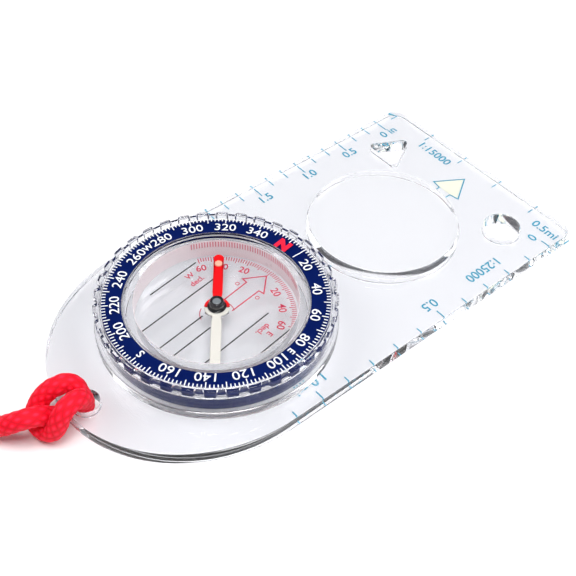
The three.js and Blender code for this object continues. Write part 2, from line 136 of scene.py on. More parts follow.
class Graph:
    """A shader or geometry tree, with one method that adds any node."""

    def __init__(self, tree: bpy.types.NodeTree) -> None:
        """Args:
        tree: The tree that the nodes go into.
        """
        self.tree = tree

    @staticmethod
    def _socket(sockets: Iterable[bpy.types.NodeSocket], key: str | int) -> bpy.types.NodeSocket:
        """Finds a socket.

        Args:
            sockets: The node's inputs or outputs.
            key: Its place, identifier or name.

        Returns:
            The socket.
        """
        listed = list(sockets)
        if isinstance(key, int):
            return listed[key]
        for socket in listed:
            if socket.identifier == key:
                return socket
        return next(socket for socket in listed if socket.name == key)

    def node(
        self,
        kind: str,
        settings: dict[str, object] | None = None,
        inputs: dict[str | int, object] | None = None,
    ) -> bpy.types.Node:
        """Adds a node.

        Args:
            kind: The node's type.
            settings: The node's own settings, set first; "stops" is a ramp's list of stops.
            inputs: Values or terms for its sockets.

        Returns:
            The node.
        """
        made = self.tree.nodes.new(kind)
        for name, setting in (settings or {}).items():
            if name == "stops":
                self._stops(made, setting)
            else:
                setattr(made, name, setting)
        for key, value in (inputs or {}).items():
            socket = self._socket(made.inputs, key)
            if isinstance(value, Term):
                self.tree.links.new(value.socket, socket)
            else:
                socket.default_value = value
        return made

    @staticmethod
    def _stops(ramp: bpy.types.Node, stops: Sequence[tuple[float, Colour]]) -> None:
        """Sets a colour ramp.

        Args:
            ramp: The ramp node.
            stops: Each stop's place and colour, lowest first.
        """
        elements = ramp.color_ramp.elements
        while len(elements) < len(stops):
            elements.new(0.5)
        for element, (place, colour) in zip(elements, stops):
            element.position = place
            element.color = colour

    def out(self, node: bpy.types.Node, key: str | int = 0) -> Term:
        """A node's output as a term."""
        return Term(self, self._socket(node.outputs, key))

    def term(
        self,
        kind: str,
        inputs: dict[str | int, object] | None = None,
        key: str | int = 0,
        settings: dict[str, object] | None = None,
    ) -> Term:
        """Adds a node and takes one of its outputs.

        Args:
            kind: The node's type.
            inputs: Values or terms for its sockets.
            key: The place, identifier or name of the output.
            settings: The node's own settings.

        Returns:
            The output.
        """
        return self.out(self.node(kind, settings, inputs), key)

    def math(self, operation: str, *values: Value, clamp: bool = False) -> Term:
        """Adds a Math node.

        Args:
            operation: The Math node's operation.
            values: Its operands.
            clamp: Whether the result is kept from 0 to 1.

        Returns:
            The result.
        """
        settings = {"operation": operation, "use_clamp": clamp}
        return self.term("ShaderNodeMath", dict(enumerate(values)), 0, settings)

    def blend(self, share: Value, first: object, second: object) -> Term:
        """Mixes two colours.

        Args:
            share: How much of the second colour.
            first: A colour or term.
            second: A colour or term.

        Returns:
            The mixed colour.
        """
        sockets = {"Factor_Float": share, "A_Color": first, "B_Color": second}
        return self.term("ShaderNodeMix", sockets, "Result_Color", {"data_type": "RGBA"})

    def noise(self, place: Term, scale: float, detail: float = 3.0) -> Term:
        """Smooth noise, 0 to 1.

        Args:
            place: The coordinates.
            scale: Lumps per metre.
            detail: Octaves.

        Returns:
            The noise.
        """
        sockets = {"Vector": place, "Scale": scale, "Detail": detail}
        return self.term("ShaderNodeTexNoise", sockets, "Fac")

    def bump(self, height: Value, depth: float, strength: float = 1.0) -> Term:
        """A relief for a shader's Normal.

        Args:
            height: The relief, 0 to 1.
            depth: What a height of 1 stands for, in metres.
            strength: How much of it shows.

        Returns:
            The normal.
        """
        sockets = {"Strength": strength, "Distance": depth, "Height": height}
        return self.term("ShaderNodeBump", sockets, "Normal")


# ---------------------------------------------------------------- finishes


def new_material(name: str) -> tuple[bpy.types.Material, Graph, Term]:
    """Starts a material.

    Args:
        name: The material's name.

    Returns:
        The material, its graph and its Object coordinates.
    """
    material = bpy.data.materials.new(name)
    material.use_nodes = True
    material.node_tree.nodes.clear()
    graph = Graph(material.node_tree)
    place = graph.term("ShaderNodeTexCoord", key="Object")
    return material, graph, place


def finish_with(graph: Graph, shader: Term) -> None:
    """Sends a shader to the material's output."""
    graph.node("ShaderNodeOutputMaterial", None, {"Surface": shader})


@dataclass(frozen=True)
class ClearAcrylic:
    """Polished clear acrylic: a little tint, faint handling marks and a very slight wave."""

    name: str
    tint: Colour = (0.925, 0.93, 0.95, 1.0)
    shade: Colour = (0.935, 0.937, 0.945, 1.0)
    glare: float = 1.0
    ior: float = 1.49
    wave_depth: float = 0.006 * MM
    wave_scale: float = 90.0
    marks: float = 0.03

    def make(self) -> bpy.types.Material:
        """Builds the material.

        Returns:
            Clear acrylic, which lets a lamp's light and the room's light through to what is under it.
        """
        material, graph, place = new_material(self.name)
        wave = graph.noise(place, self.wave_scale, 1.0)
        smudge = graph.noise(place, 420.0, 4.0)
        marks = graph.math("MULTIPLY", smudge - 0.45, 2.0 * self.marks, clamp=True)
        body = {
            "Base Color": graph.blend(smudge * 0.3, self.tint, COLOURLESS),
            "Roughness": marks,
            "IOR": self.ior,
            "Transmission Weight": 1.0,
            "Specular Tint": (self.glare, self.glare, self.glare, 1.0),
            "Normal": graph.bump(wave, self.wave_depth, 0.6),
        }
        seen = graph.term("ShaderNodeBsdfPrincipled", body)
        through = graph.term("ShaderNodeBsdfTransparent", {"Color": self.shade})
        path = graph.node("ShaderNodeLightPath")
        lamp, bounced = graph.out(path, "Is Shadow Ray"), graph.out(path, "Is Diffuse Ray")
        sockets = {0: graph.math("MAXIMUM", lamp, bounced), 1: seen, 2: through}
        finish_with(graph, graph.term("ShaderNodeMixShader", sockets))
        return material


@dataclass(frozen=True)
class MouldedPlastic:
    """Opaque moulded plastic with a fine satin grain and a slow drift in tone."""

    name: str
    deep: Colour
    light: Colour
    roughness: float = 0.35
    grain: float = 0.004 * MM
    coat: float = 0.0
    metallic: float = 0.0
    shine: float = 0.5

    def make(self) -> bpy.types.Material:
        """Builds the material.

        Returns:
            The plastic.
        """
        material, graph, place = new_material(self.name)
        drift = graph.noise(place, 160.0)
        fine = graph.noise(place, 6000.0, 2.0)
        sockets = {
            "Base Color": graph.blend(drift, self.deep, self.light),
            "Roughness": (drift - 0.5) * 0.12 + self.roughness,
            "Metallic": self.metallic,
            "Specular IOR Level": self.shine,
            "Coat Weight": self.coat,
            "Coat Roughness": 0.08,
            "Normal": graph.bump(fine, self.grain, 0.5),
        }
        finish_with(graph, graph.term("ShaderNodeBsdfPrincipled", sockets))
        return material


@dataclass(frozen=True)
class PrintInk:
    """Screen-printed ink: nearly even, with pinholes and slightly thin patches."""

    name: str
    full: Colour
    thin: Colour
    roughness: float = 0.45

    def make(self) -> bpy.types.Material:
        """Builds the material.

        Returns:
            The ink.
        """
        material, graph, place = new_material(self.name)
        patch = graph.noise(place, 900.0, 4.0)
        share = graph.math("MULTIPLY", patch - 0.42, 2.2, clamp=True)
        sockets = {
            "Base Color": graph.blend(share, self.full, self.thin),
            "Roughness": share * 0.2 + self.roughness,
            "Normal": graph.bump(patch, 0.002 * MM, 0.3),
        }
        finish_with(graph, graph.term("ShaderNodeBsdfPrincipled", sockets))
        return material


@dataclass(frozen=True)
class BraidedPolyester:
    """The lanyard's yarn, with painted shade in the gaps between yarns and painted highlights on the crests:
    the UV map counts carriers round the cord and crossings along it.
    """

    name: str
    # valley is painted shade for the gaps between yarns, crest a painted highlight on the yarn crossings
    valley: Colour = srgb(220, 0, 30)
    yarn: Colour = srgb(240, 0, 38)
    crest: Colour = srgb(250, 38, 72)
    plies: float = 7.0

    def make(self) -> bpy.types.Material:
        """Builds the material.

        Returns:
            The braid.
        """
        material, graph, place = new_material(self.name)
        parts = graph.node("ShaderNodeSeparateXYZ", None, {0: graph.term("ShaderNodeUVMap")})
        around, along = graph.out(parts, 0), graph.out(parts, 1)
        first, second = around + along, around - along
        in_first, in_second = graph.math("FRACT", first), graph.math("FRACT", second)
        step = graph.math("FLOOR", first) + graph.math("FLOOR", second)
        over = graph.math("FLOORED_MODULO", step, 2.0)
        across = over * in_second + (1.0 - over) * in_first
        onward = over * in_first + (1.0 - over) * in_second
        hump = graph.math("SINE", across * math.pi) * graph.math("SINE", onward * math.pi)
        plies = graph.math("SINE", (across * self.plies + onward * 0.8) * (2.0 * math.pi)) * 0.5 + 0.5
        fuzz = graph.noise(place, 5200.0, 4.0)
        tone = graph.math("ABSOLUTE", hump)
        # deep fades the painted gap shade into the yarn colour; top lays the painted highlight over the
        # crests
        deep = graph.math("MULTIPLY", tone * 2.6 + (fuzz - 0.5) * 0.6, 1.0, clamp=True)
        base = graph.blend(deep, self.valley, self.yarn)
        proud = tone + (plies - 0.5) * 0.16 + (fuzz - 0.5) * 0.3
        top = graph.math("MULTIPLY", (proud - 0.55) * 2.0, 1.0, clamp=True)
        sockets = {
            "Base Color": graph.blend(top, base, self.crest),
            "Roughness": fuzz * 0.2 + 0.55,
            "Specular IOR Level": 0.25,
            "Sheen Weight": 0.12,
            "Sheen Roughness": 0.4,
            "Sheen Tint": (1.0, 0.2, 0.3, 1.0),
            "Normal": graph.bump(plies * 0.6 + fuzz * 0.4, 0.06 * MM, 0.7),
        }
        finish_with(graph, graph.term("ShaderNodeBsdfPrincipled", sockets))
        return material


class Finishes:
    """Every finish on the compass, each made once."""

    def __init__(self) -> None:
        """Builds the materials."""
        self.plate = ClearAcrylic("plate_acrylic").make()
        self.dial = ClearAcrylic(
            "dial_acrylic", (0.99, 0.99, 0.995, 1.0), COLOURLESS, glare=0.5
        ).make()
        self.seat = ClearAcrylic(
            "seat_acrylic", (0.985, 0.987, 0.995, 1.0), COLOURLESS, glare=0.05
        ).make()
        self.window = ClearAcrylic(
            "capsule_acrylic", (0.998, 0.997, 0.999, 1.0), COLOURLESS, glare=0.3, ior=1.2, marks=0.01
        ).make()
        self.lens = ClearAcrylic(
            "lens_acrylic", (0.9, 0.905, 0.92, 1.0), (0.955, 0.957, 0.965, 1.0), wave_depth=0.0
        ).make()
        self.navy = MouldedPlastic(
            "navy_plastic", srgb(0, 14, 68), srgb(0, 25, 92), 0.4, shine=0.1
        ).make()
        # pale pinkish sheet colour: painted reflection standing in for the capsule's mirror-like wall
        self.wall = MouldedPlastic(
            "wall_painted_reflection", srgb(240, 226, 229), srgb(246, 235, 237), 0.3, grain=0.0
        ).make()
        self.steel = MouldedPlastic(
            "pivot_steel", (0.45, 0.46, 0.48, 1.0), (0.6, 0.6, 0.62, 1.0), 0.25, metallic=1.0
        ).make()
        self.needle_red = MouldedPlastic(
            "needle_red", srgb(216, 0, 8), srgb(232, 4, 14), 0.4, shine=0.3
        ).make()
        self.needle_white = MouldedPlastic(
            "needle_white", srgb(204, 201, 193), srgb(222, 219, 211), 0.45
        ).make()
        self.black = MouldedPlastic(
            "hub_black", (0.004, 0.004, 0.006, 1.0), (0.012, 0.012, 0.015, 1.0), 0.18, coat=0.6
        ).make()
        self.jewel = MouldedPlastic(
            "jewel_grey", srgb(88, 96, 102), srgb(150, 156, 160), 0.08, grain=0.0, coat=1.0
        ).make()
        self.lume = MouldedPlastic(
            "lume_paint", srgb(226, 158, 132), srgb(236, 180, 156), 0.6
        ).make()
        self.teal_ink = PrintInk("teal_ink", srgb(0, 146, 178), srgb(20, 160, 190)).make()
        self.cream_ink = PrintInk("cream_ink", srgb(234, 234, 214), srgb(240, 240, 224)).make()
        self.white_ink = PrintInk("white_ink", srgb(246, 247, 250), srgb(232, 236, 244)).make()
        self.red_ink = PrintInk("red_ink", srgb(190, 26, 66), srgb(204, 48, 84)).make()
        # pale red marks on the wall sheet: painted reflection of the red declination ticks
        self.pale_red_ink = PrintInk("pale_red_ink", srgb(222, 120, 138), srgb(236, 168, 178)).make()
        self.north_ink = PrintInk("north_ink", srgb(226, 10, 52), srgb(234, 26, 66)).make()
        self.black_ink = PrintInk("black_ink", (0.006, 0.006, 0.008, 1.0), (0.03, 0.03, 0.034, 1.0)).make()
        self.braid = BraidedPolyester("lanyard_braid").make()


# ---------------------------------------------------------------- meshes


Faces = list[tuple[int, ...]]


@dataclass
class Shell:
    """Loose vertices and faces that become one mesh."""

    points: list[Point3] = field(default_factory=list)
    faces: Faces = field(default_factory=list)

    def add(self, points: Iterable[Point3], faces: Iterable[Sequence[int]]) -> None:
        """Appends a part.

        Args:
            points: Its vertices.
            faces: Its faces, by place in those vertices.
        """
        start = len(self.points)
        self.points.extend(tuple(point) for point in points)
        self.faces.extend(tuple(start + index for index in face) for face in faces)

    def piece(self, name: str, material: bpy.types.Material, scale: float = MM) -> bpy.types.Object:
        """Makes the object.

        Args:
            name: The piece's name.
            material: Its finish.
            scale: Metres for one unit of the points.

        Returns:
            The object, at the origin.
        """
        mesh = bpy.data.meshes.new(name)
        mesh.from_pydata([tuple(c * scale for c in point) for point in self.points], [], self.faces)
        mesh.materials.append(material)
        return place_mesh(name, mesh)


def place_mesh(name: str, mesh: bpy.types.Mesh) -> bpy.types.Object:
    """Shades a mesh and puts it in the scene.

    Args:
        name: The piece's name.
        mesh: Its mesh, already in place.

    Returns:
        The object, at the origin.
    """
    mesh.validate()
    mesh.update()
    for polygon in mesh.polygons:
        polygon.use_smooth = abs(polygon.normal.z) < FLAT_COSINE
    mesh.set_sharp_from_angle(angle=SHARP_ANGLE)
    piece = bpy.data.objects.new(name, mesh)
    bpy.context.scene.collection.objects.link(piece)
    return piece


def rounded_profile(
    corners: Sequence[tuple[float, float, float]], steps: int = 4, guard: float = 0.03
) -> list[Point2]:
    """Rounds the corners of a closed radius-and-height profile.

    Args:
        corners: Radius, height and rounding radius of each corner, in order.
        steps: Faces across each rounded corner.
        guard: How far beyond a rounding the extra ring that keeps a flat face flat lies.

    Returns:
        The rounded profile.
    """
    made: list[Point2] = []
    count = len(corners)
    for index, (radius, height, rounding) in enumerate(corners):
        here = Vector((radius, height))
        if rounding <= 0:
            made.append((radius, height))
            continue
        before = (Vector(corners[index - 1][:2]) - here).normalized()
        after = (Vector(corners[(index + 1) % count][:2]) - here).normalized()
        half = before.angle(after) / 2
        reach = rounding / math.tan(half)
        centre = here + (before + after).normalized() * (rounding / math.sin(half))
        first, last = here + before * reach, here + after * reach
        made.append(tuple(first + before * guard))
        start = first - centre
        sweep = start.angle_signed(last - centre)
        for step in range(steps + 1):
            turn = Matrix.Rotation(-sweep * step / steps, 2)
            made.append(tuple(centre + turn @ start))
        made.append(tuple(last + after * guard))
    return made


def turned(profile: Sequence[Point2], centre_x: float, segments: int = 160) -> Shell:
    """Turns a closed profile about an upright axis on the centre line.

    Args:
        profile: Radius and height of each point, with the axis on the left, going round counter-clockwise.
        centre_x: Where the axis stands.
        segments: Faces round the axis.

    Returns:
        The turned shell.
    """
    shell = Shell()
    rings: list[list[int]] = []
    for radius, height in profile:
        if radius < 1e-6:
            shell.points.append((centre_x, 0.0, height))
            rings.append([len(shell.points) - 1] * segments)
            continue
        ring = []
        for step in range(segments):
            angle = 2 * math.pi * step / segments
            x, y = centre_x + radius * math.cos(angle), radius * math.sin(angle)
            shell.points.append((x, y, height))
            ring.append(len(shell.points) - 1)
        rings.append(ring)
    for index, ring in enumerate(rings):
        following = rings[(index + 1) % len(rings)]
        for step in range(segments):
            onward = (step + 1) % segments
            face = (ring[step], ring[onward], following[onward], following[step])
            unique = tuple(dict.fromkeys(face))
            if len(unique) > 2:
                shell.faces.append(unique)
    return shell


def shifted(outline: Sequence[Point2], distance: float) -> list[Point2]:
    """Moves a closed outline sideways.

    Args:
        outline: The outline's points.
        distance: How far to its left side.

    Returns:
        The moved outline.
    """
    made = []
    count = len(outline)
    for index in range(count):
        here = Vector(outline[index])
        before = (here - Vector(outline[index - 1])).normalized()
        after = (Vector(outline[(index + 1) % count]) - here).normalized()
        left_before, left_after = Vector((-before.y, before.x)), Vector((-after.y, after.x))
        mitre = left_before + left_after
        length = max(mitre.length_squared / 2, 0.25)
        made.append(tuple(here + mitre * (distance / length)))
    return made


def slab(
    outlines: Sequence[Sequence[Point2]], bottom: float, top: float, rounding: float = 0.0, steps: int = 4
) -> Shell:
    """Raises a flat outline with holes into a slab.

    Args:
        outlines: The outer outline counter-clockwise, then each hole clockwise.
        bottom: Height of the underside.
        top: Height of the top.
        rounding: Radius of the broken edges.
        steps: Faces across each broken edge.

    Returns:
        The slab.
    """
    shell = Shell()
    levels: list[Point2] = []
    if rounding > 0:
        for step in range(steps + 1):
            angle = math.pi / 2 * step / steps
            levels.append((rounding * (1 - math.sin(angle)), bottom + rounding * (1 - math.cos(angle))))
        levels += [(inset, bottom + top - height) for inset, height in reversed(levels)]
        guard = rounding + 0.05
        levels = [(guard, bottom), *levels, (guard, top)]
    else:
        levels = [(0.0, bottom), (0.0, top)]
    caps: list[list[tuple[float, float]]] = []
    bottoms: list[int] = []
    tops: list[int] = []
    for outline in outlines:
        count = len(outline)
        previous: list[int] = []
        for order, (inset, height) in enumerate(levels):
            moved = shifted(outline, inset) if inset else list(outline)
            start = len(shell.points)
            shell.points.extend((x, y, height) for x, y in moved)
            ring = list(range(start, start + count))
            if order == 0:
                bottoms.extend(ring)
            else:
                for step in range(count):
                    onward = (step + 1) % count
                    shell.faces.append((previous[step], previous[onward], ring[onward], ring[step]))
            previous = ring
        tops.extend(previous)
        caps.append(shifted(outline, levels[0][0]) if levels[0][0] else list(outline))
    cells = tessellate_polygon([[Vector((x, y, 0.0)) for x, y in cap] for cap in caps])
    for cell in cells:
        a, b, c = (Vector(shell.points[tops[index]]) for index in cell)
        order = cell if (b - a).cross(c - a).z > 0 else tuple(reversed(cell))
        shell.faces.append(tuple(tops[index] for index in order))
        shell.faces.append(tuple(bottoms[index] for index in reversed(order)))
    return shell


def arc(centre: Point2, radius: float, start: float, sweep: float, steps: int) -> list[Point2]:
    """Points along an arc.

    Args:
        centre: The arc's centre.
        radius: Its radius.
        start: First angle, in degrees.
        sweep: How far it turns, in degrees.
        steps: Lines along it.

    Returns:
        One point more than there are lines.
    """
    made = []
    for step in range(steps + 1):
        angle = math.radians(start + sweep * step / steps)
        made.append((centre[0] + radius * math.cos(angle), centre[1] + radius * math.sin(angle)))
    return made


def rounded_outline(corners: Sequence[Point2], radius: float, steps: int) -> list[Point2]:
    """A polygon with its corners rounded.

    Args:
        corners: The corners, in order.
        radius: The radius of the rounding.
        steps: Lines across each corner.

    Returns:
        The outline.
    """
    made: list[Point2] = []
    for index, corner in enumerate(corners):
        here = Vector(corner)
        before = (Vector(corners[index - 1]) - here).normalized()
        after = (Vector(corners[(index + 1) % len(corners)]) - here).normalized()
        half = before.angle(after) / 2
        centre = here + (before + after).normalized() * (radius / math.sin(half))
        start = here + before * (radius / math.tan(half)) - centre
        sweep = start.angle_signed(here + after * (radius / math.tan(half)) - centre)
        for step in range(steps + 1):
            made.append(tuple(centre + Matrix.Rotation(-sweep * step / steps, 2) @ start))
    return made


def ribbon(points: Sequence[Point2], width: float, bottom: float, top: float, closed: bool = False) -> Shell:
    """A printed line of even width.

    Args:
        points: The line's points.
        width: Its width.
        bottom: Height of its underside.
        top: Height of its top.
        closed: Whether the last point joins the first.

    Returns:
        The line as a thin closed body.
    """
    count = len(points)
    left: list[Point2] = []
    right: list[Point2] = []
    for index in range(count):
        here = Vector(points[index])
        before = here - Vector(points[index - 1])
        after = Vector(points[(index + 1) % count]) - here
        if not closed and index == 0:
            before = after
        if not closed and index == count - 1:
            after = before
        before, after = before.normalized(), after.normalized()
        mitre = Vector((-before.y - after.y, before.x + after.x))
        offset = mitre * (width / 2 / max(mitre.length_squared / 2, 0.3))
        left.append(tuple(here + offset))
        right.append(tuple(here - offset))
    shell = Shell()
    corners = [(x, y, z) for z in (bottom, top) for side in (left, right) for x, y in side]
    faces: Faces = []
    for index in range(count if closed else count - 1):
        onward = (index + 1) % count
        low_left, low_right, high_left, high_right = (
            (order * count + index, order * count + onward) for order in range(4)
        )
        faces.append((low_left[0], low_left[1], low_right[1], low_right[0]))
        faces.append((high_left[0], high_right[0], high_right[1], high_left[1]))
        faces.append((low_left[0], high_left[0], high_left[1], low_left[1]))
        faces.append((low_right[0], low_right[1], high_right[1], high_right[0]))
    if not closed:
        faces.append((0, count, 3 * count, 2 * count))
        last = count - 1
        faces.append((last, 2 * count + last, 3 * count + last, count + last))
    shell.add(corners, faces)
    return shell


def dial_point(radius: float, bearing: float) -> Point2:
    """The place on the dial at a radius and a bearing in degrees, with the dial at rest."""
    angle = NORTH_ANGLE - math.radians(bearing)
    return DIAL_X + radius * math.cos(angle), radius * math.sin(angle)


def from_north(forward: float, left: float) -> Point2:
    """The place of a point given by its distance towards N and to its left, from the pivot."""
    cos, sin = math.cos(NORTH_ANGLE), math.sin(NORTH_ANGLE)
    return DIAL_X + forward * cos - left * sin, forward * sin + left * cos


class Lettering:
    """Figures and letters, cut as thin closed bodies from the built-in face."""

    def __init__(self, bottom: float, top: float) -> None:
        """Args:
        bottom: Height of the underside, in millimetres.
        top: Height of the top.
        """
        self.bottom = bottom
        self.top = top
        self.shell = Shell()

    def write(
        self, text: str, centre: Point2, up: float, height: float, weight: float = 0.0, stretch: float = 1.0
    ) -> None:
        """Adds a label.

        Args:
            text: What it says.
            centre: Its centre.
            up: The direction of its top, in degrees from +X.
            height: Height of its capitals.
            weight: How much the strokes are thickened, as a share of the height.
            stretch: How much wider it is than the face draws it.
        """
        curve = bpy.data.curves.new("label", "FONT")
        curve.body = text
        curve.align_x = "CENTER"
        curve.resolution_u = 4
        curve.offset = weight
        curve.extrude = 0.5
        holder = bpy.data.objects.new("label", curve)
        bpy.context.scene.collection.objects.link(holder)
        bpy.context.view_layer.update()
        depsgraph = bpy.context.evaluated_depsgraph_get()
        mesh = bpy.data.meshes.new_from_object(holder.evaluated_get(depsgraph))
        bpy.data.objects.remove(holder)
        bpy.data.curves.remove(curve)
        shape = bmesh.new()
        shape.from_mesh(mesh)
        bmesh.ops.remove_doubles(shape, verts=shape.verts, dist=1e-4)
        bmesh.ops.recalc_face_normals(shape, faces=shape.faces)
        bpy.data.meshes.remove(mesh)
        capital = 0.7
        angle = math.radians(up - 90)
        cos, sin = math.cos(angle), math.sin(angle)
        points = []
        for vertex in shape.verts:
            x = vertex.co.x * height / capital * stretch
            y = (vertex.co.y - capital / 2) * height / capital
            z = self.top if vertex.co.z > 0 else self.bottom
            points.append((centre[0] + x * cos - y * sin, centre[1] + x * sin + y * cos, z))
        shape.verts.index_update()
        self.shell.add(points, [[vertex.index for vertex in face.verts] for face in shape.faces])
        shape.free()


# ---------------------------------------------------------------- geometry nodes


class Layout(Enum):
    """How a run of ticks is laid out."""

    ARC = "arc"
    ROW = "row"


class GeometryRecipe:
    """A geometry tree with named inputs, and the plain mesh that it makes."""

    def __init__(self, name: str) -> None:
        """Args:
        name: The tree's name.
        """
        self.name = name
        self.tree = bpy.data.node_groups.new(name, "GeometryNodeTree")
        self.graph = Graph(self.tree)
        self.identifiers: dict[str, str] = {}
        self.values: dict[str, object] = {}
        self.source = self.graph.node("NodeGroupInput")

    def input(self, name: str, value: object) -> Term:
        """Adds a named input.

        Args:
            name: The input's name.
            value: What this piece sets it to.

        Returns:
            The input as a term.
        """
        kinds = {int: "NodeSocketInt", float: "NodeSocketFloat"}
        kind = kinds.get(type(value), "NodeSocketMaterial")
        socket = self.tree.interface.new_socket(name=name, in_out="INPUT", socket_type=kind)
        self.identifiers[name] = socket.identifier
        self.values[name] = value
        return self.graph.out(self.source, socket.identifier)

    def own_geometry(self) -> Term:
        """Adds an input for the seed's own geometry, which has to be the tree's first input.

        Returns:
            The input as a term.
        """
        socket = self.tree.interface.new_socket(
            name="Seed", in_out="INPUT", socket_type="NodeSocketGeometry"
        )
        return self.graph.out(self.source, socket.identifier)

    def grow(
        self, geometry: Term, material: Term, piece_name: str, seed_mesh: bpy.types.Mesh | None = None
    ) -> bpy.types.Object:
        """Ends the tree, runs it and keeps its result.

        Args:
            geometry: The geometry that the tree has made.
            material: The material input.
            piece_name: The name of the piece.
            seed_mesh: What the tree starts from, if it needs anything.

        Returns:
            The piece, as a plain mesh at the origin.
        """
        graph = self.graph
        real = graph.term("GeometryNodeRealizeInstances", {0: geometry})
        dressed = graph.term("GeometryNodeSetMaterial", {"Geometry": real, "Material": material})
        self.tree.interface.new_socket(
            name="Geometry", in_out="OUTPUT", socket_type="NodeSocketGeometry"
        )
        graph.node("NodeGroupOutput", None, {0: dressed})
        seed = bpy.data.objects.new(piece_name + "_seed", seed_mesh or bpy.data.meshes.new("seed"))
        bpy.context.scene.collection.objects.link(seed)
        modifier = seed.modifiers.new(self.name, "NODES")
        modifier.node_group = self.tree
        for name, value in self.values.items():
            modifier[self.identifiers[name]] = value
        depsgraph = bpy.context.evaluated_depsgraph_get()
        mesh = bpy.data.meshes.new_from_object(seed.evaluated_get(depsgraph))
        mesh.name = piece_name
        seed.modifiers.remove(modifier)
        bpy.data.objects.remove(seed)
        return place_mesh(piece_name, mesh)


@dataclass
class Ticks:
    """A run of printed division marks, all the same but for a longer one every so often."""

    layout: Layout
    count: int
    first: Point2
    step: Point2
    long_every: int
    short: float
    long: float
    width: float
    bottom: float
    top: float
    facing: float = 0.0
    long_phase: int = 0
    centre_x: float = DIAL_X

    def build(self, name: str, material: bpy.types.Material) -> bpy.types.Object:
        """Makes the ticks.

        Args:
            name: The piece's name.
            material: Its ink.

        Returns:
            The ticks as one plain mesh.
        """
        recipe = GeometryRecipe(name + "_tree")
        graph = recipe.graph
        count = recipe.input("Count", self.count)
        every = recipe.input("Long Every", self.long_every)
        phase = recipe.input("Long Phase", self.long_phase)
        first_a = recipe.input("First A", self.first[0])
        first_b = recipe.input("First B", self.first[1])
        step_a = recipe.input("Step A", self.step[0])
        step_b = recipe.input("Step B", self.step[1])
        short = recipe.input("Short", self.short * MM)
        long = recipe.input("Long", self.long * MM)
        width = recipe.input("Width", self.width * MM)
        deep = recipe.input("Depth", (self.top - self.bottom) * MM)
        level = recipe.input("Level", (self.top + self.bottom) / 2 * MM)
        facing = recipe.input("Facing", self.facing)
        centre = recipe.input("Centre X", self.centre_x * MM)
        ink = recipe.input("Ink", material)
        index = graph.term("GeometryNodeInputIndex")
        turn = graph.math("FLOORED_MODULO", index + phase, every)
        is_long = graph.math("LESS_THAN", turn, 0.5)
        length = short + (long - short) * is_long
        place_a = first_a + step_a * index
        place_b = first_b + step_b * index
        if self.layout is Layout.ARC:
            radius = place_a * MM - length * 0.5
            x = centre + radius * graph.math("COSINE", place_b)
            y = radius * graph.math("SINE", place_b)
            angle = place_b
        else:
            x = place_a * MM - graph.math("COSINE", facing) * length * 0.5
            y = place_b * MM - graph.math("SINE", facing) * length * 0.5
            angle = facing
        line = graph.term("GeometryNodeMeshLine", {"Count": count})
        spot = graph.term("ShaderNodeCombineXYZ", {0: x, 1: y, 2: level})
        turned_by = graph.term("ShaderNodeCombineXYZ", {2: angle})
        sockets = {
            "Points": graph.term("GeometryNodeSetPosition", {"Geometry": line, "Position": spot}),
            "Instance": graph.term("GeometryNodeMeshCube", {"Size": (1.0, 1.0, 1.0)}),
            "Rotation": graph.term("FunctionNodeEulerToRotation", {0: turned_by}),
            "Scale": graph.term("ShaderNodeCombineXYZ", {0: length, 1: width, 2: deep}),
        }
        return recipe.grow(graph.term("GeometryNodeInstanceOnPoints", sockets), ink, name)


# ---------------------------------------------------------------- lanyard


def smooth_path(route: Sequence[Vector], spacing: float) -> list[Vector]:
    """A smooth curve through a route's points, at an even spacing.

    Args:
        route: The points that it passes through.
        spacing: The distance between the points that are returned.

    Returns:
        The points along it.
    """
    knots = [0.0]
    for a, b in zip(route, route[1:]):
        knots.append(knots[-1] + math.sqrt((b - a).length))
    padded = [route[0] * 2 - route[1], *route, route[-1] * 2 - route[-2]]
    times = [2 * knots[0] - knots[1], *knots, 2 * knots[-1] - knots[-2]]
    fine: list[Vector] = []
    steps = 24
    for i in range(1, len(padded) - 2):
        t0, t1, t2, t3 = times[i - 1 : i + 3]
        p0, p1, p2, p3 = padded[i - 1 : i + 3]
        for step in range(steps):
            t = t1 + (t2 - t1) * step / steps
            a1 = p0 * ((t1 - t) / (t1 - t0)) + p1 * ((t - t0) / (t1 - t0))
            a2 = p1 * ((t2 - t) / (t2 - t1)) + p2 * ((t - t1) / (t2 - t1))
            a3 = p2 * ((t3 - t) / (t3 - t2)) + p3 * ((t - t2) / (t3 - t2))
            b1 = a1 * ((t2 - t) / (t2 - t0)) + a2 * ((t - t0) / (t2 - t0))
            b2 = a2 * ((t3 - t) / (t3 - t1)) + a3 * ((t - t1) / (t3 - t1))
            fine.append(b1 * ((t2 - t) / (t2 - t1)) + b2 * ((t - t1) / (t2 - t1)))
    fine.append(route[-1])
    total = sum((b - a).length for a, b in zip(fine, fine[1:]))
    wanted = max(2, round(total / spacing))
    made = [fine[0]]
    walked, target, index = 0.0, total / wanted, 0
    for _ in range(wanted - 1):
        while walked + (fine[index + 1] - fine[index]).length < target:
            walked += (fine[index + 1] - fine[index]).length
            index += 1
        gap = fine[index + 1] - fine[index]
        made.append(fine[index] + gap * ((target - walked) / gap.length))
        target += total / wanted
    made.append(fine[-1])
    return made


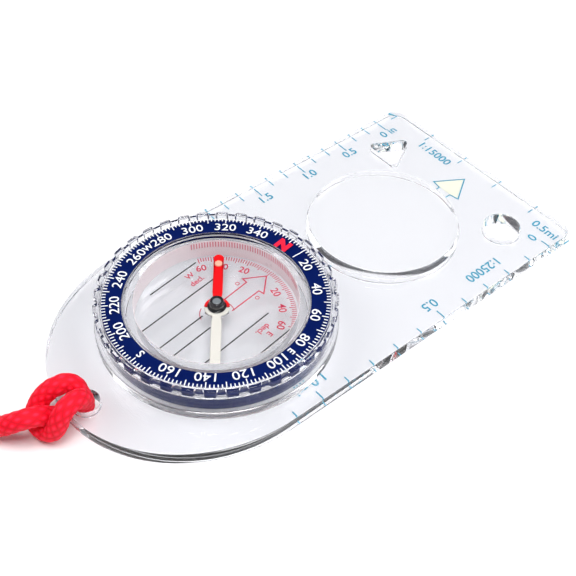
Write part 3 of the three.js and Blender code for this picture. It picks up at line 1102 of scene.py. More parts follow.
@dataclass
class BraidedTube:
    """A round braided cord along a path, with the crossings of its yarns standing proud."""

    radius: float = 1.9
    carriers: int = 7
    crossing: float = 1.0
    relief: float = 0.15
    sides: int = 46

    def _height(self, around: float, along: float) -> float:
        """The weave's height.

        Args:
            around: Carriers counted round the cord.
            along: Crossings counted along it.

        Returns:
            0 in a gap between yarns and 1 on a crest.
        """
        first, second = around + along, around - along
        one, two = math.floor(first), math.floor(second)
        across, onward = first - one, second - two
        if (one + two) % 2:
            across, onward = onward, across
        round_yarn = math.sin(math.pi * across) ** 0.6
        dive = math.sin(math.pi * onward) ** 0.5
        return round_yarn * (0.35 + 0.65 * dive)

    def build(self, name: str, path: Sequence[Vector], material: bpy.types.Material) -> bpy.types.Object:
        """Makes the cord.

        Args:
            name: The piece's name.
            path: Its centre line, in millimetres.
            material: Its finish.

        Returns:
            The cord, with closed ends and a UV map that counts the braid.
        """
        points: list[Point3] = []
        alongs: list[float] = []
        tangent = (path[1] - path[0]).normalized()
        side = tangent.orthogonal().normalized()
        walked = 0.0
        for index, here in enumerate(path):
            ahead = path[min(index + 1, len(path) - 1)] - path[max(index - 1, 0)]
            turned_to = ahead.normalized()
            side = tangent.rotation_difference(turned_to) @ side
            tangent = turned_to
            side = (side - tangent * side.dot(tangent)).normalized()
            other = tangent.cross(side)
            if index:
                walked += (here - path[index - 1]).length
            along = walked / (2 * self.crossing)
            alongs.append(along)
            for step in range(self.sides):
                angle = 2 * math.pi * step / self.sides
                height = self._height(self.carriers * step / self.sides, along)
                radius = self.radius - self.relief * (1 - height)
                points.append(tuple(here + (side * math.cos(angle) + other * math.sin(angle)) * radius))
        rings = len(path)
        faces: Faces = []
        uvs: list[Point2] = []
        for ring in range(rings - 1):
            for step in range(self.sides):
                onward = (step + 1) % self.sides
                here, there = ring * self.sides, (ring + 1) * self.sides
                faces.append((here + step, here + onward, there + onward, there + step))
                low = self.carriers * step / self.sides
                high = self.carriers * (step + 1) / self.sides
                near, far = alongs[ring], alongs[ring + 1]
                uvs += [(low, near), (high, near), (high, far), (low, far)]
        for ring, centre, flip in ((0, path[0], True), (rings - 1, path[-1], False)):
            points.append(tuple(centre))
            for step in range(self.sides):
                onward = (step + 1) % self.sides
                pair = (ring * self.sides + step, ring * self.sides + onward)
                faces.append((*(reversed(pair) if flip else pair), len(points) - 1))
                uvs += [(0.5, alongs[ring])] * 3
        mesh = bpy.data.meshes.new(name)
        mesh.from_pydata([tuple(c * MM for c in point) for point in points], [], faces)
        layer = mesh.uv_layers.new(name="UVMap")
        for loop, uv in zip(layer.data, uvs):
            loop.uv = uv
        mesh.materials.append(material)
        mesh.update()
        for polygon in mesh.polygons:
            polygon.use_smooth = True
        piece = bpy.data.objects.new(name, mesh)
        bpy.context.scene.collection.objects.link(piece)
        return piece


@dataclass
class Lanyard:
    """The red wrist cord: a hitch through the plate, a lead, a stored coil and an end knot."""

    coil_centre: Point2 = (-95.9, 14.9)
    outer_turn: float = 23.4
    inner_turn: float = 19.2
    floor_level: float = 2.0
    upper_level: float = 5.7
    diameter: float = 3.8
    knot_radius: float = 1.75
    knot_offset: Point2 = (-0.2, -10.9)
    knot_level: float = 3.95
    far_spacing: float = 0.36
    near_spacing: float = 0.18
    hitch_spacing: float = 0.16
    knot_spacing: float = 0.3
    hitch: tuple[Point3, ...] = (
        (-51.1, 0.4, 0.5),
        (-51.0, 0.4, 2.4),
        (-51.2, 0.9, 4.4),
        (-51.6, 1.7, 6.0),
        (-52.8, 2.4, 6.8),
        (-54.3, 2.8, 6.8),
        (-55.8, 3.3, 6.2),
        (-57.2, 3.5, 5.2),
        (-58.5, 3.4, 3.9),
        (-59.4, 2.9, 2.6),
        (-60.1, 1.3, 2.0),
        (-59.9, -0.7, 2.0),
        (-59.1, -2.4, 2.8),
        (-58.3, -3.1, 4.4),
        (-57.5, -3.3, 6.2),
        (-56.5, -3.3, 7.6),
        (-55.0, -3.1, 8.2),
        (-53.4, -2.6, 7.6),
        (-52.0, -1.7, 5.8),
        (-51.4, -0.9, 3.6),
        (-51.4, -0.6, 1.8),
    )
    lead: tuple[Point3, ...] = (
        (-55.7, 0.2, 2.1),
        (-57.0, 0.0, 3.0),
        (-58.6, -0.2, 4.7),
        (-60.4, -0.3, 6.2),
        (-62.2, 0.1, 6.6),
        (-64.0, 1.3, 5.8),
        (-65.6, 3.2, 4.1),
        (-66.9, 5.4, 2.6),
        (-67.9, 7.6, 2.05),
        (-68.6, 9.6, 2.0),
        (-70.4, 14.2, 2.0),
        (-72.2, 18.8, 2.0),
    )
    tail: tuple[Point3, ...] = (
        (-14.1, -5.1, 2.0),
        (-12.3, -8.4, 2.0),
        (-9.2, -10.5, 2.4),
        (-5.2, -10.9, 3.3),
    )

    def _coil(self) -> list[Vector]:
        """The stored turns.

        Returns:
            The points of three and a half turns, two beside each other on two layers.
        """

        def ease(value: float, start: float, end: float) -> float:
            """A smooth step from 0 at start to 1 at end."""
            share = min(max((value - start) / (end - start), 0.0), 1.0)
            return share * share * (3 - 2 * share)

        made = []
        for degrees in range(20, 1246, 15):
            inward = ease(degrees, 560, 606)
            raised = ease(degrees, 305, 378) - ease(degrees, 886, 952)
            radius = self.outer_turn + (self.inner_turn - self.outer_turn) * inward
            level = self.floor_level + (self.upper_level - self.floor_level) * raised
            angle = math.radians(degrees)
            x = self.coil_centre[0] + radius * math.cos(angle)
            y = self.coil_centre[1] + radius * math.sin(angle)
            made.append(Vector((x, y, level)))
        return made

    def _end_knot(self) -> list[Vector]:
        """The overhand knot's centre line, along X."""
        x0, y0 = (centre + off for centre, off in zip(self.coil_centre, self.knot_offset))
        shape = (
            (-3.0, 0.0, 0.0),
            (-1.6, 0.4, 0.6),
            (-0.6, 1.5, 1.3),
            (0.6, 1.9, 0.0),
            (1.3, 0.7, -1.5),
            (0.9, -1.2, -1.5),
            (-0.2, -1.9, 0.1),
            (-1.3, -0.8, 1.7),
            (-1.2, 1.0, 1.6),
            (0.0, 2.0, 0.3),
            (1.2, 1.2, -0.8),
            (2.0, 0.2, -0.3),
            (2.9, 0.0, 0.0),
        )
        return [Vector((x0 + x, y0 + y, self.knot_level + z)) for x, y, z in shape]

    def build(self, finishes: Finishes) -> None:
        """Args:
            finishes: The compass's finishes.
        """
        centre = Vector((*self.coil_centre, 0.0))
        route = [Vector(point) for point in self.lead]
        route += self._coil()
        route += [centre + Vector(point) for point in self.tail]
        path = smooth_path(route, self.far_spacing)
        near_end = 60
        near = smooth_path(path[: near_end + 1], self.near_spacing)
        path = near + path[near_end + 1 :]
        cord = BraidedTube(radius=self.diameter / 2).build("lanyard_cord", path, finishes.braid)
        loop_path = smooth_path([Vector(point) for point in self.hitch], self.hitch_spacing)
        hitch = BraidedTube(radius=self.diameter / 2, sides=64).build(
            "lanyard_loop", loop_path, finishes.braid
        )
        knot_path = smooth_path(self._end_knot(), self.knot_spacing)
        knot = BraidedTube(radius=self.knot_radius).build("end_knot", knot_path, finishes.braid)
        for piece in (cord, hitch, knot):
            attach(piece, "base")
        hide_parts("lanyard_lead", "lanyard_coil", "lanyard_tail")
        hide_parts("lanyard_hitch")
        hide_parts("lanyard_end_knot")
        length = sum((b - a).length for a, b in zip(path, path[1:])) * MM
        [tuple(c * MM for c in point) for point in path]
        LOG.info("lanyard: %.3f m of cord, with its hitch and end knot", length)


# ---------------------------------------------------------------- plate


@dataclass
class Baseplate:
    """The clear plate with its holes, the magnifier and the printed scales."""

    half_length: float = 55.0
    half_width: float = 27.5
    thickness: float = 3.0
    corner: float = 3.2
    rear_reach: float = 30.9
    edge: float = 0.28
    cord_hole: Point2 = (-50.9, -0.4)
    cord_hole_radius: float = 2.6
    control_hole: Point2 = (43.6, -16.9)
    control_radius: float = 4.0
    start_hole: tuple[Point2, ...] = ((40.0, 12.2), (40.0, 21.6), (48.6, 16.9))
    start_corner: float = 0.8
    lens_x: float = 24.1
    lens_radius: float = 16.1
    lens_gap: float = 0.32
    lens_bottom: float = 0.3
    lens_edge_top: float = 4.3
    lens_crown: float = 5.3
    ink_bottom: float = 0.04
    ink_top: float = 0.07
    line_width: float = 0.24
    label_height: float = 2.1
    label_weight: float = 0.008
    inch_labels: tuple[tuple[str, float], ...] = (("0 in", 48.3), ("0.5", 35.8), ("1.0", 23.4), ("1.5", 10.5))
    mile_labels: tuple[tuple[str, float], ...] = (
        ("0", 47.6),
        ("1:25000", 32.2),
        ("0.5", 16.2),
        ("1.0 mi", -15.6),
    )
    front_labels: tuple[tuple[str, Point2], ...] = (("1:15000", (51.4, 10.8)), ("0.5mi", (51.7, -22.6)))
    arrow_half_shaft: float = 1.62

    def _outline(self) -> list[Point2]:
        """The plate's outer edge, counter-clockwise from the rear's inch side."""
        made: list[Point2] = []
        centre = -self.half_length + self.rear_reach
        for step in range(161):
            angle = math.pi / 2 + math.pi * step / 160
            made.append((centre + self.rear_reach * math.cos(angle), self.half_width * math.sin(angle)))
        for x in range(-20, 51, 10):
            made.append((float(x), -self.half_width))
        inner = self.half_length - self.corner
        side = self.half_width - self.corner
        made += arc((inner, -side), self.corner, -90, 90, 12)
        made += arc((inner, side), self.corner, 0, 90, 12)
        for x in range(50, -21, -10):
            made.append((float(x), self.half_width))
        return made

    def _plate(self) -> Shell:
        """The plate with its four openings."""
        lens = arc((self.lens_x, 0.0), self.lens_radius + self.lens_gap, 0, -360, 160)[:-1]
        control = arc(self.control_hole, self.control_radius, 0, -360, 72)[:-1]
        cord = arc(self.cord_hole, self.cord_hole_radius, 0, -360, 64)[:-1]
        start = rounded_outline(self.start_hole, self.start_corner, 8)
        area = sum(a[0] * b[1] - a[1] * b[0] for a, b in zip(start, start[1:] + start[:1]))
        if area > 0:
            start.reverse()
        return slab([self._outline(), lens, control, cord, start], 0.0, self.thickness, self.edge)

    def _lens(self) -> Shell:
        """The magnifier: flat below, a short straight edge and a shallow round crown."""
        rise = self.lens_crown - self.lens_edge_top
        sphere = (self.lens_radius**2 + rise**2) / (2 * rise)
        corners = [(0.0, self.lens_bottom, 0.0), (self.lens_radius, self.lens_bottom, 0.2)]
        corners.append((self.lens_radius, self.lens_edge_top, 0.25))
        profile = rounded_profile([*corners, (0.0, self.lens_edge_top, 0.0)])[:-1]
        start = profile[-2][0] - 0.1
        for step in range(33):
            radius = start * (1 - step / 32)
            crown = self.lens_crown - sphere + math.sqrt(sphere**2 - radius**2)
            profile.append((radius, crown))
        return turned(profile, self.lens_x, 160)

    def _scales(self, finishes: Finishes) -> list[bpy.types.Object]:
        """The printed scales.

        Args:
            finishes: The compass's finishes.

        Returns:
            The ticks and the labels.
        """
        teal = finishes.teal_ink
        low, high = self.ink_bottom, self.ink_top
        made = []
        for name, count, first, step, every, short, long, facing in (
            ("inch_scale_ticks", 13, (48.5, 27.2), (-INCH / 6, 0.0), 3, 1.8, 2.9, math.pi / 2),
            ("mile_scale_ticks", 12, (48.4, -27.2), (-MILE / 250000, 0.0), 5, 2.1, 2.9, -math.pi / 2),
            ("front_scale_ticks", 6, (54.5, 26.4), (0.0, -MILE / 150000), 5, 1.5, 2.2, 0.0),
        ):
            ticks = Ticks(
                Layout.ROW, count, first, step, every, short, long, self.line_width, low, high, facing
            )
            made.append(ticks.build(name, teal))
        labels = Lettering(low, high)
        placed = [(text, (x, 23.3), 90) for text, x in self.inch_labels]
        placed += [(text, (x, -22.4), -90) for text, x in self.mile_labels]
        placed += [(text, place, 0) for text, place in self.front_labels]
        for text, place, up in placed:
            labels.write(text, place, up, self.label_height, self.label_weight)
        made.append(labels.shell.piece("scale_labels", teal))
        arrow = Shell()
        half = self.arrow_half_shaft
        outline = [(41.0, -half), (43.6, -half), (44.0, -3.8), (50.15, 0.0)]
        outline += [(44.0, 3.8), (43.6, half), (41.0, half)]
        stubs = [[(7.4, y), (9.2, y)] for y in (half, -half)]
        for line in (outline, *stubs):
            part = ribbon(line, self.line_width, low, high)
            arrow.add(part.points, part.faces)
        made.append(arrow.piece("travel_arrow", teal))
        fill = [(43.75, -1.45), (44.15, -3.45), (49.7, 0.0), (44.15, 3.45), (43.75, 1.45)]
        filling = slab([fill], low + 0.01, high - 0.012)
        made.append(filling.piece("travel_arrow_fill", finishes.cream_ink))
        return made

    def build(self, finishes: Finishes) -> None:
        """Makes the plate, the lens and the prints.

        Args:
            finishes: The compass's finishes.
        """
        plate = self._plate().piece("plate", finishes.plate)
        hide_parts("base_plate")
        lens = self._lens().piece("magnifier", finishes.lens)
        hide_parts("magnifier_lens")
        prints = self._scales(finishes)
        for piece in (plate, lens, *prints):
            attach(piece, "base")
        LOG.info("baseplate: plate, magnifier and %d prints", len(prints))


# ---------------------------------------------------------------- dial


@dataclass
class DialSeat:
    """The fixed clear collar and the blue ring in it, which carries the index line."""

    ring_top: float = 9.5
    ring_flange: float = 9.0
    ring_foot: float = 4.3
    line_ends: tuple[float, float] = (18.5, 21.0)
    line_angle: float = -2.0

    def build(self, finishes: Finishes) -> None:
        """Makes the collar, the ring and its line.

        Args:
            finishes: The compass's finishes.
        """
        collar_profile = rounded_profile(
            [
                (19.9, 3.04, 0.0),
                (23.7, 3.04, 0.15),
                (23.7, 5.1, 0.35),
                (23.1, 5.1, 0.0),
                (23.1, 8.3, 0.25),
                (22.2, 8.3, 0.2),
                (22.2, 4.0, 0.0),
                (19.9, 4.0, 0.0),
            ]
        )
        collar = turned(collar_profile, DIAL_X, 192).piece("dial_collar", finishes.seat)
        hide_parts("seat_collar")
        ring_profile = rounded_profile(
            [
                (21.1, self.ring_foot, 0.05),
                (21.9, self.ring_foot, 0.15),
                (21.9, self.ring_top, 0.2),
                (18.15, self.ring_top, 0.12),
                (18.15, self.ring_flange, 0.08),
                (21.1, self.ring_flange, 0.0),
            ]
        )
        ring = turned(ring_profile, DIAL_X, 192).piece("blue_ring", finishes.navy)
        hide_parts("index_ring")
        angle = math.radians(self.line_angle)
        ends = [(DIAL_X + r * math.cos(angle), r * math.sin(angle)) for r in self.line_ends]
        line = ribbon(ends, 0.22, self.ring_top, self.ring_top + 0.03)
        index = line.piece("index_line", finishes.white_ink)
        for piece in (collar, ring, index):
            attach(piece, "base")
        LOG.info("dial seat: collar, blue ring and index line")


@dataclass
class GripBezel:
    """The clear turning ring, with 36 finger grips and its numbers printed underneath."""

    grips: int = 36
    faces_per_grip: int = 24
    grip_radius: float = 23.4
    valley_radius: float = 22.75
    half_grip: float = 2.3
    flank: float = 1.1
    bore: float = 17.95
    rim_inner: float = 22.2
    bottom: float = 8.7
    top: float = 10.45
    web_bottom: float = 9.85
    label_radius: float = 19.4
    print_bottom: float = 9.76
    print_top: float = 9.82

    def _section(self) -> bpy.types.Mesh:
        """The ring's section: a thin flat web that carries the numbers and a skirt with the grips.

        Returns:
            A closed outline, with X as the radius from the axis and Y as the height.
        """
        profile = rounded_profile(
            [
                (self.bore, self.web_bottom, 0.1),
                (self.rim_inner, self.web_bottom, 0.0),
                (self.rim_inner, self.bottom, 0.15),
                (self.grip_radius, self.bottom, 0.3),
                (self.grip_radius, self.top, 0.4),
                (self.bore, self.top, 0.15),
            ]
        )
        count = len(profile)
        middle = (self.top + self.bottom) / 2
        points = [((radius - self.rim_inner) * MM, (height - middle) * MM, 0.0) for radius, height in profile]
        mesh = bpy.data.meshes.new("bezel_section")
        mesh.from_pydata(points, [(step, (step + 1) % count) for step in range(count)], [])
        return mesh

    def _ring(self, material: bpy.types.Material) -> bpy.types.Object:
        """The ring with its grips, swept and then pulled in between the grips.

        Args:
            material: Its finish.

        Returns:
            The ring as a plain mesh.
        """
        recipe = GeometryRecipe("grip_bezel_tree")
        graph = recipe.graph
        outline = recipe.own_geometry()
        grips = recipe.input("Grips", self.grips)
        outer = recipe.input("Grip Radius", self.grip_radius * MM)
        valley = recipe.input("Valley Radius", self.valley_radius * MM)
        half_grip = recipe.input("Half Grip Angle", math.radians(self.half_grip))
        flank = recipe.input("Flank Angle", math.radians(self.flank))
        hinge = recipe.input("Rim Inner Radius", self.rim_inner * MM)
        level = recipe.input("Middle Height", (self.top + self.bottom) / 2 * MM)
        centre = recipe.input("Centre X", DIAL_X * MM)
        finish = recipe.input("Finish", material)
        round_path = {"Resolution": grips * self.faces_per_grip, "Radius": hinge}
        circle = graph.term("GeometryNodeCurvePrimitiveCircle", round_path)
        section = graph.term("GeometryNodeMeshToCurve", {"Mesh": outline})
        swept = graph.term("GeometryNodeCurveToMesh", {"Curve": circle, "Profile Curve": section})
        here = graph.term("GeometryNodeInputPosition")
        parts = graph.node("ShaderNodeSeparateXYZ", None, {0: here})
        x, y = graph.out(parts, 0), graph.out(parts, 1)
        radius = graph.math("SQRT", x * x + y * y)
        pitch = 2 * math.pi / grips
        bearing = graph.math("ARCTAN2", y, x)
        off_centre = graph.math("ABSOLUTE", graph.math("WRAP", bearing, pitch * 0.5, pitch * -0.5))
        between = graph.math("MULTIPLY", (off_centre - half_grip) / flank, 1.0, clamp=True)
        smooth = between * between * (3.0 - 2.0 * between)
        reach = graph.math("MULTIPLY", (radius - valley) / (outer - valley) + 1.0, 0.5, clamp=True)
        pull = (valley - outer) * smooth * reach / radius
        shift = graph.term("ShaderNodeCombineXYZ", {0: x * pull + centre, 1: y * pull, 2: level})
        moved = graph.term("GeometryNodeSetPosition", {"Geometry": swept, "Offset": shift})
        return recipe.grow(moved, finish, "bezel", self._section())

    def build(self, finishes: Finishes) -> None:
        """Makes the ring, its numbers and its divisions.

        Args:
            finishes: The compass's finishes.
        """
        bezel = self._ring(finishes.dial)
        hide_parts("grip_bezel")
        ticks = Ticks(
            layout=Layout.ARC,
            count=180,
            first=(21.85, NORTH_ANGLE),
            step=(0.0, math.radians(-2)),
            long_every=5,
            short=0.75,
            long=1.3,
            width=0.19,
            bottom=self.print_bottom,
            top=self.print_top,
        ).build("dial_divisions", finishes.white_ink)
        numbers = Lettering(self.print_bottom, self.print_top)
        north = Lettering(self.print_bottom, self.print_top)
        rest = math.degrees(NORTH_ANGLE)
        for bearing in range(20, 360, 20):
            if bearing == 180:
                continue
            centre = dial_point(self.label_radius, bearing)
            numbers.write(str(bearing), centre, rest - bearing, 1.9, 0.0, 1.13)
        for letter, bearing, height in (("E", 90, 1.4), ("S", 180, 1.6), ("W", 270, 1.4)):
            centre = dial_point(self.label_radius, bearing)
            numbers.write(letter, centre, rest - bearing, height, 0.012, 1.0)
        north.write("N", dial_point(self.label_radius - 0.1, -1.2), rest + 1.2, 2.35, 0.075, 1.12)
        figures = numbers.shell.piece("dial_numbers", finishes.white_ink)
        letter = north.shell.piece("north_letter", finishes.north_ink)
        for piece in (bezel, ticks, figures, letter):
            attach(piece, "dial")
        LOG.info("grip bezel: ring, %d grips and its print", self.grips)


@dataclass
class Capsule:
    """The clear needle housing: cup, a pale sheet painted with the wall's reflection, lid and the printed
    floor.
    """

    floor: float = 4.9
    inner: float = 16.0
    print_top: float = 4.95
    lid_radius: float = 17.85
    lid_bottom: float = 9.36
    lid_top: float = 9.8
    # inner and outer radius, foot and head of the sheet painted with the wall's reflection
    lining: tuple[float, float, float, float] = (15.9, 15.96, 5.0, 9.25)

    def _cup(self) -> Shell:
        """The cup, with the lip that holds it in its seat and the boss for the pin."""
        return turned(
            rounded_profile(
                [
                    (0.0, 3.6, 0.0),
                    (17.6, 3.6, 0.2),
                    (17.6, 7.9, 0.0),
                    (18.9, 7.9, 0.1),
                    (18.9, 8.65, 0.1),
                    (17.6, 8.65, 0.0),
                    (17.6, 9.3, 0.05),
                    (self.inner, 9.3, 0.05),
                    (self.inner, self.floor, 0.05),
                    (1.5, self.floor, 0.0),
                    (1.5, 5.9, 0.1),
                    (0.75, 5.9, 0.05),
                    (0.75, 5.2, 0.0),
                    (0.0, 5.2, 0.0),
                ]
            ),
            DIAL_X,
            160,
        )

    def _meridians(self) -> Shell:
        """The black north lines on the floor."""
        made = Shell()
        for left, start, end in (
            (1.6, -13.9, -2.4),
            (-1.6, -13.9, -3.4),
            (7.1, -13.2, 7.0),
            (-7.1, -13.2, 7.0),
            (13.0, -5.7, 6.8),
            (-13.0, -5.7, 6.8),
        ):
            line = [from_north(start, left), from_north(end, left)]
            part = ribbon(line, 0.27, self.floor + 0.01, self.print_top)
            made.add(part.points, part.faces)
        return made

    def _orienting_arrow(self) -> Shell:
        """The red arrow that is laid over the needle, and the two rings beside it."""
        made = Shell()
        low, high = self.floor + 0.01, self.print_top
        shape = [(2.5, -1.6), (9.95, -1.7), (10.07, -2.93), (13.95, 0.0)]
        shape += [(10.07, 2.93), (9.95, 1.7), (3.2, 1.6)]
        part = ribbon([from_north(*point) for point in shape], 0.25, low, high)
        made.add(part.points, part.faces)
        for left in (2.75, -2.75):
            centre = from_north(8.4, left)
            part = ribbon(arc(centre, 0.38, 0, 360, 20)[:-1], 0.14, low, high, closed=True)
            made.add(part.points, part.faces)
        for start, sweep in ((118, 50), (-25, 50)):
            points = arc((DIAL_X, 0.0), 3.4, start, sweep, 12)
            part = ribbon(points, 0.16, low, high)
            made.add(part.points, part.faces)
        return made

    def build(self, finishes: Finishes) -> None:
        """Makes the capsule and its print.

        Args:
            finishes: The compass's finishes.
        """
        cup = self._cup().piece("capsule_body", finishes.window)
        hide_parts("capsule_cup")
        low, high, edge = self.lid_bottom, self.lid_top, self.lid_radius
        corners = [(0.0, low, 0.0), (edge, low, 0.05), (edge, high, 0.05), (0.0, high, 0.0)]
        lid = turned(rounded_profile(corners), DIAL_X, 160).piece("capsule_window", finishes.window)
        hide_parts("capsule_lid")
        # The wall is drawn as a thin pale pinkish sheet painted with the mirror-like wall's reflection; it
        # casts no shadow and takes no bounced light.
        front, back, foot, head = self.lining
        wall_profile = [(front, foot), (back, foot), (back, head), (front, head)]
        wall = turned(wall_profile, DIAL_X, 192).piece("wall_painted_reflection_sheet", finishes.wall)
        wall.visible_shadow = False
        wall.visible_diffuse = False
        # Pale red marks on the wall sheet: painted reflection of the red declination ticks in the mirror-like
        # wall.
        painted_tick_reflections = Ticks(
            layout=Layout.ARC,
            count=49,
            first=(front, NORTH_ANGLE + math.radians(64)),
            step=(0.0, math.radians(-2)),
            long_every=49,
            short=0.03,
            long=0.03,
            width=0.2,
            bottom=7.5,
            top=8.9,
        ).build("wall_painted_tick_reflections", finishes.pale_red_ink)
        lines = self._meridians().piece("north_lines", finishes.black_ink)
        arrow = self._orienting_arrow().piece("orienting_arrow", finishes.red_ink)
        ticks = Ticks(
            layout=Layout.ARC,
            count=61,
            first=(15.55, NORTH_ANGLE + math.radians(60)),
            step=(0.0, math.radians(-2)),
            long_every=5,
            short=1.0,
            long=1.4,
            width=0.17,
            bottom=self.floor + 0.01,
            top=self.print_top,
        ).build("declination_divisions", finishes.red_ink)
        labels = Lettering(self.floor + 0.01, self.print_top)
        rest = math.degrees(NORTH_ANGLE)
        for bearing in (-60, -40, -20, 20, 40, 60):
            labels.write(str(abs(bearing)), dial_point(12.8, bearing), rest - bearing, 1.55, 0.012, 1.0)
        for text, place, up in (
            ("W", (3.3, 11.2), 90),
            ("decl.", (3.35, 9.15), 90),
            ("E", (3.27, -10.97), -90),
            ("decl.", (3.2, -9.28), -90),
        ):
            labels.write(text, from_north(*place), rest + up, 1.25, 0.012)
        marks = labels.shell.piece("declination_labels", finishes.red_ink)
        for piece in (cup, lid, wall, painted_tick_reflections, lines, arrow, ticks, marks):
            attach(piece, "dial")
        pin = bpy.data.objects["pivot_pin"]
        pin.data.materials.clear()
        pin.data.materials.append(finishes.steel)
        LOG.info("capsule: cup, wall, window, printed floor and pin")


# ---------------------------------------------------------------- needle


@dataclass
class Needle:
    """The balanced needle: steel core, red and white covers, hub, jewel and lume dot."""

    north_reach: float = 14.25
    south_reach: float = 15.1
    half_width: float = 1.0
    waist: float = 0.85
    eye: float = 2.5
    bore: float = 1.65
    split: float = 0.15
    bottom: float = 6.55
    top: float = 6.95
    dot_reach: float = 11.7
    dot_radius: float = 0.8
    dot_top: float = 7.05

    def _turn(self, point: Point2) -> Point2:
        """A point along the needle, at its resting heading."""
        cos, sin = math.cos(NEEDLE_ANGLE), math.sin(NEEDLE_ANGLE)
        return DIAL_X + point[0] * cos - point[1] * sin, point[0] * sin + point[1] * cos

    def _cover(self, side: int, pocket: bool) -> Shell:
        """Half the needle's cover.

        Args:
            side: 1 for the north half and -1 for the south half.
            pocket: Whether it has the pocket for the lume dot.

        Returns:
            The cover, round at its tip and cut by the hub's eye.
        """
        tip = (self.north_reach if side > 0 else self.south_reach) - self.half_width
        outline = arc((tip, 0.0), self.half_width, -90, 180, 20)
        neck = math.sqrt(self.eye**2 - self.waist**2)
        outline += [(neck + 1.6, self.half_width), (neck + 0.6, self.waist + 0.04), (neck, self.waist)]
        start = math.degrees(math.asin(self.waist / self.eye))
        end = math.degrees(math.acos(self.split / self.eye))
        outline += arc((0.0, 0.0), self.eye, start, end - start, 10)[1:]
        inner_end = math.degrees(math.acos(self.split / self.bore))
        outline += arc((0.0, 0.0), self.bore, inner_end, -2 * inner_end, 24)
        outline += arc((0.0, 0.0), self.eye, -end, end - start, 10)
        outline += [(neck + 0.6, -self.waist - 0.04), (neck + 1.6, -self.half_width)]
        outlines = [[self._turn((side * x, side * y)) for x, y in outline]]
        if pocket:
            hole = arc((self.dot_reach, 0.0), self.dot_radius + 0.05, 0, -360, 32)[:-1]
            outlines.append([self._turn((side * x, side * y)) for x, y in hole])
        return slab(outlines, self.bottom, self.top, 0.14, 3)

    def build(self, finishes: Finishes) -> None:
        """Makes the needle.

        Args:
            finishes: The compass's finishes.
        """
        north = self._cover(1, True).piece("north_cover", finishes.needle_red)
        south = self._cover(-1, False).piece("south_cover", finishes.needle_white)
        dot_x, dot_y = self._turn((self.dot_reach, 0.0))
        low, high, edge = self.bottom, self.dot_top, self.dot_radius
        corners = [(0.0, low, 0.0), (edge, low, 0.0), (edge, high, 0.2), (0.0, high, 0.0)]
        dot = turned(rounded_profile(corners), 0.0, 40)
        dot.points = [(x + dot_x, y + dot_y, z) for x, y, z in dot.points]
        lume = dot.piece("lume_dot", finishes.lume)
        hub_profile = rounded_profile(
            [
                (0.92, 6.53, 0.0),
                (1.35, 6.53, 0.0),
                (1.35, 7.0, 0.0),
                (1.85, 7.0, 0.05),
                (1.85, 7.25, 0.1),
                (1.5, 7.3, 0.0),
                (1.5, 8.1, 0.3),
                (1.3, 8.7, 0.15),
                (0.92, 8.7, 0.05),
            ]
        )
        hub = turned(hub_profile, DIAL_X, 64).piece("hub", finishes.black)
        jewel_profile = rounded_profile(
            [
                (0.0, 7.75, 0.0),
                (0.3, 7.5, 0.0),
                (0.6, 7.3, 0.0),
                (0.88, 7.3, 0.05),
                (0.88, 8.55, 0.2),
                (0.0, 8.66, 0.0),
            ]
        )
        jewel = turned(jewel_profile, DIAL_X, 48).piece("jewel_bearing", finishes.jewel)
        for piece, node, slot in (
            (north, "needle_north", "needle_red"),
            (south, "needle_south", "needle_white"),
            (lume, "needle_lume_dot", "lume"),
            (hub, "needle_hub", "black_plastic"),
            (jewel, "needle_jewel", "jewel"),
        ):
            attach(piece, "needle")
            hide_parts(node)
        core = bpy.data.objects["needle_core"]
        core.data.materials.clear()
        core.data.materials.append(finishes.steel)
        LOG.info("needle: covers, hub, jewel, lume dot and core")


# ---------------------------------------------------------------- studio


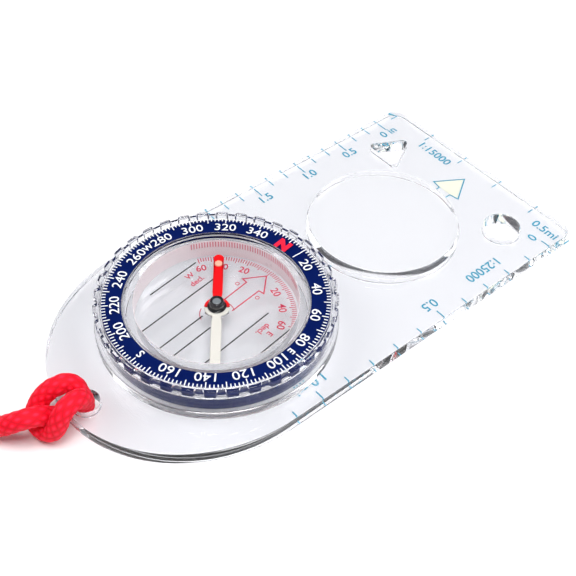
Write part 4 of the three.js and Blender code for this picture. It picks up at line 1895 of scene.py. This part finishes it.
@dataclass
class Studio:
    """A pale floor, soft lamps and the camera."""

    eye: Point3 = (-0.096856, -0.107010, 0.152545)
    right: Point3 = (0.76635, -0.64198, 0.02421)
    up: Point3 = (0.45605, 0.57018, 0.68332)
    back: Point3 = (-0.45248, -0.51262, 0.72972)
    lens: float = 63.38
    floor_radius: float = 1600.0
    lamp_size: float = 0.5

    def camera(self) -> None:
        """Sets the camera at its viewing angle."""
        data = bpy.data.cameras.new("camera")
        data.sensor_width = 36.0
        data.lens = self.lens
        data.clip_start = 0.005
        data.clip_end = 20.0
        camera = bpy.data.objects.new("camera", data)
        frame = Matrix((self.right, self.up, self.back)).transposed().to_4x4()
        camera.matrix_world = Matrix.Translation(self.eye) @ frame
        bpy.context.scene.collection.objects.link(camera)
        bpy.context.scene.camera = camera

    def _lamp(self, name: str, place: Point3, watts: float) -> None:
        """Hangs a soft square lamp that faces the compass.

        Args:
            name: The lamp's name.
            place: Where it hangs.
            watts: Its power.
        """
        data = bpy.data.lights.new(name, "AREA")
        data.size = self.lamp_size
        data.energy = watts
        lamp = bpy.data.objects.new(name, data)
        lamp.location = place
        lamp.rotation_euler = (-Vector(place)).to_track_quat("-Z", "Y").to_euler()
        bpy.context.scene.collection.objects.link(lamp)

    def _floor(self) -> None:
        """Lays the pale floor, wide enough to be seen from every side."""
        material, graph, place = new_material("studio_floor")
        drift = graph.noise(place, 6.0)
        sockets = {
            "Base Color": graph.blend(drift, (0.86, 0.86, 0.865, 1.0), (0.88, 0.88, 0.885, 1.0)),
            "Roughness": 0.9,
            "Specular IOR Level": 0.2,
        }
        finish_with(graph, graph.term("ShaderNodeBsdfPrincipled", sockets))
        shell = slab([arc((0.0, 0.0), self.floor_radius, 0, 360, 96)[:-1]], -4.0, -0.02)
        floor = shell.piece("studio_floor", material)

    def _world(self) -> None:
        """Sets a room that is pale low down, dark above that and a little lighter overhead."""
        world = bpy.data.worlds.new("studio_room")
        bpy.context.scene.world = world
        world.use_nodes = True
        world.node_tree.nodes.clear()
        graph = Graph(world.node_tree)
        direction = graph.term("ShaderNodeTexCoord", key="Generated")
        parts = graph.node("ShaderNodeSeparateXYZ", None, {0: direction})
        stops = [
            (0.0, (0.90, 0.90, 0.92, 1.0)),
            (0.30, (0.62, 0.62, 0.65, 1.0)),
            (0.52, (0.09, 0.092, 0.105, 1.0)),
            (0.86, (0.07, 0.072, 0.08, 1.0)),
            (1.0, (0.30, 0.30, 0.31, 1.0)),
        ]
        room = graph.term("ShaderNodeValToRGB", {"Fac": graph.out(parts, 2)}, 0, {"stops": stops})
        sky = graph.term("ShaderNodeBackground", {"Color": room, "Strength": 1.0})
        graph.node("ShaderNodeOutputWorld", None, {"Surface": sky})

    def light(self) -> None:
        """Sets the floor, the room and the lamps."""
        scene = bpy.context.scene
        scene.view_settings.view_transform = "Standard"
        scene.cycles.max_bounces = 32
        scene.cycles.transmission_bounces = 32
        scene.cycles.glossy_bounces = 16
        scene.cycles.transparent_max_bounces = 32
        self._floor()
        self._world()
        self._lamp("window", (-0.40, 0.45, 0.62), 1.8)
        self._lamp("fill", (0.50, -0.38, 0.58), 3.2)
        self._lamp("overhead", (-0.10, -0.16, 0.90), 7.4)


def main() -> None:
    """Builds the compass, piece by piece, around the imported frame."""
    logging.basicConfig(level=logging.INFO, format="%(name)s: %(message)s")
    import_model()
    studio = Studio()
    studio.camera()
    finishes = Finishes()
    Lanyard().build(finishes)
    Baseplate().build(finishes)
    DialSeat().build(finishes)
    GripBezel().build(finishes)
    Capsule().build(finishes)
    Needle().build(finishes)
    studio.light()


if __name__ == "__main__":
    main()
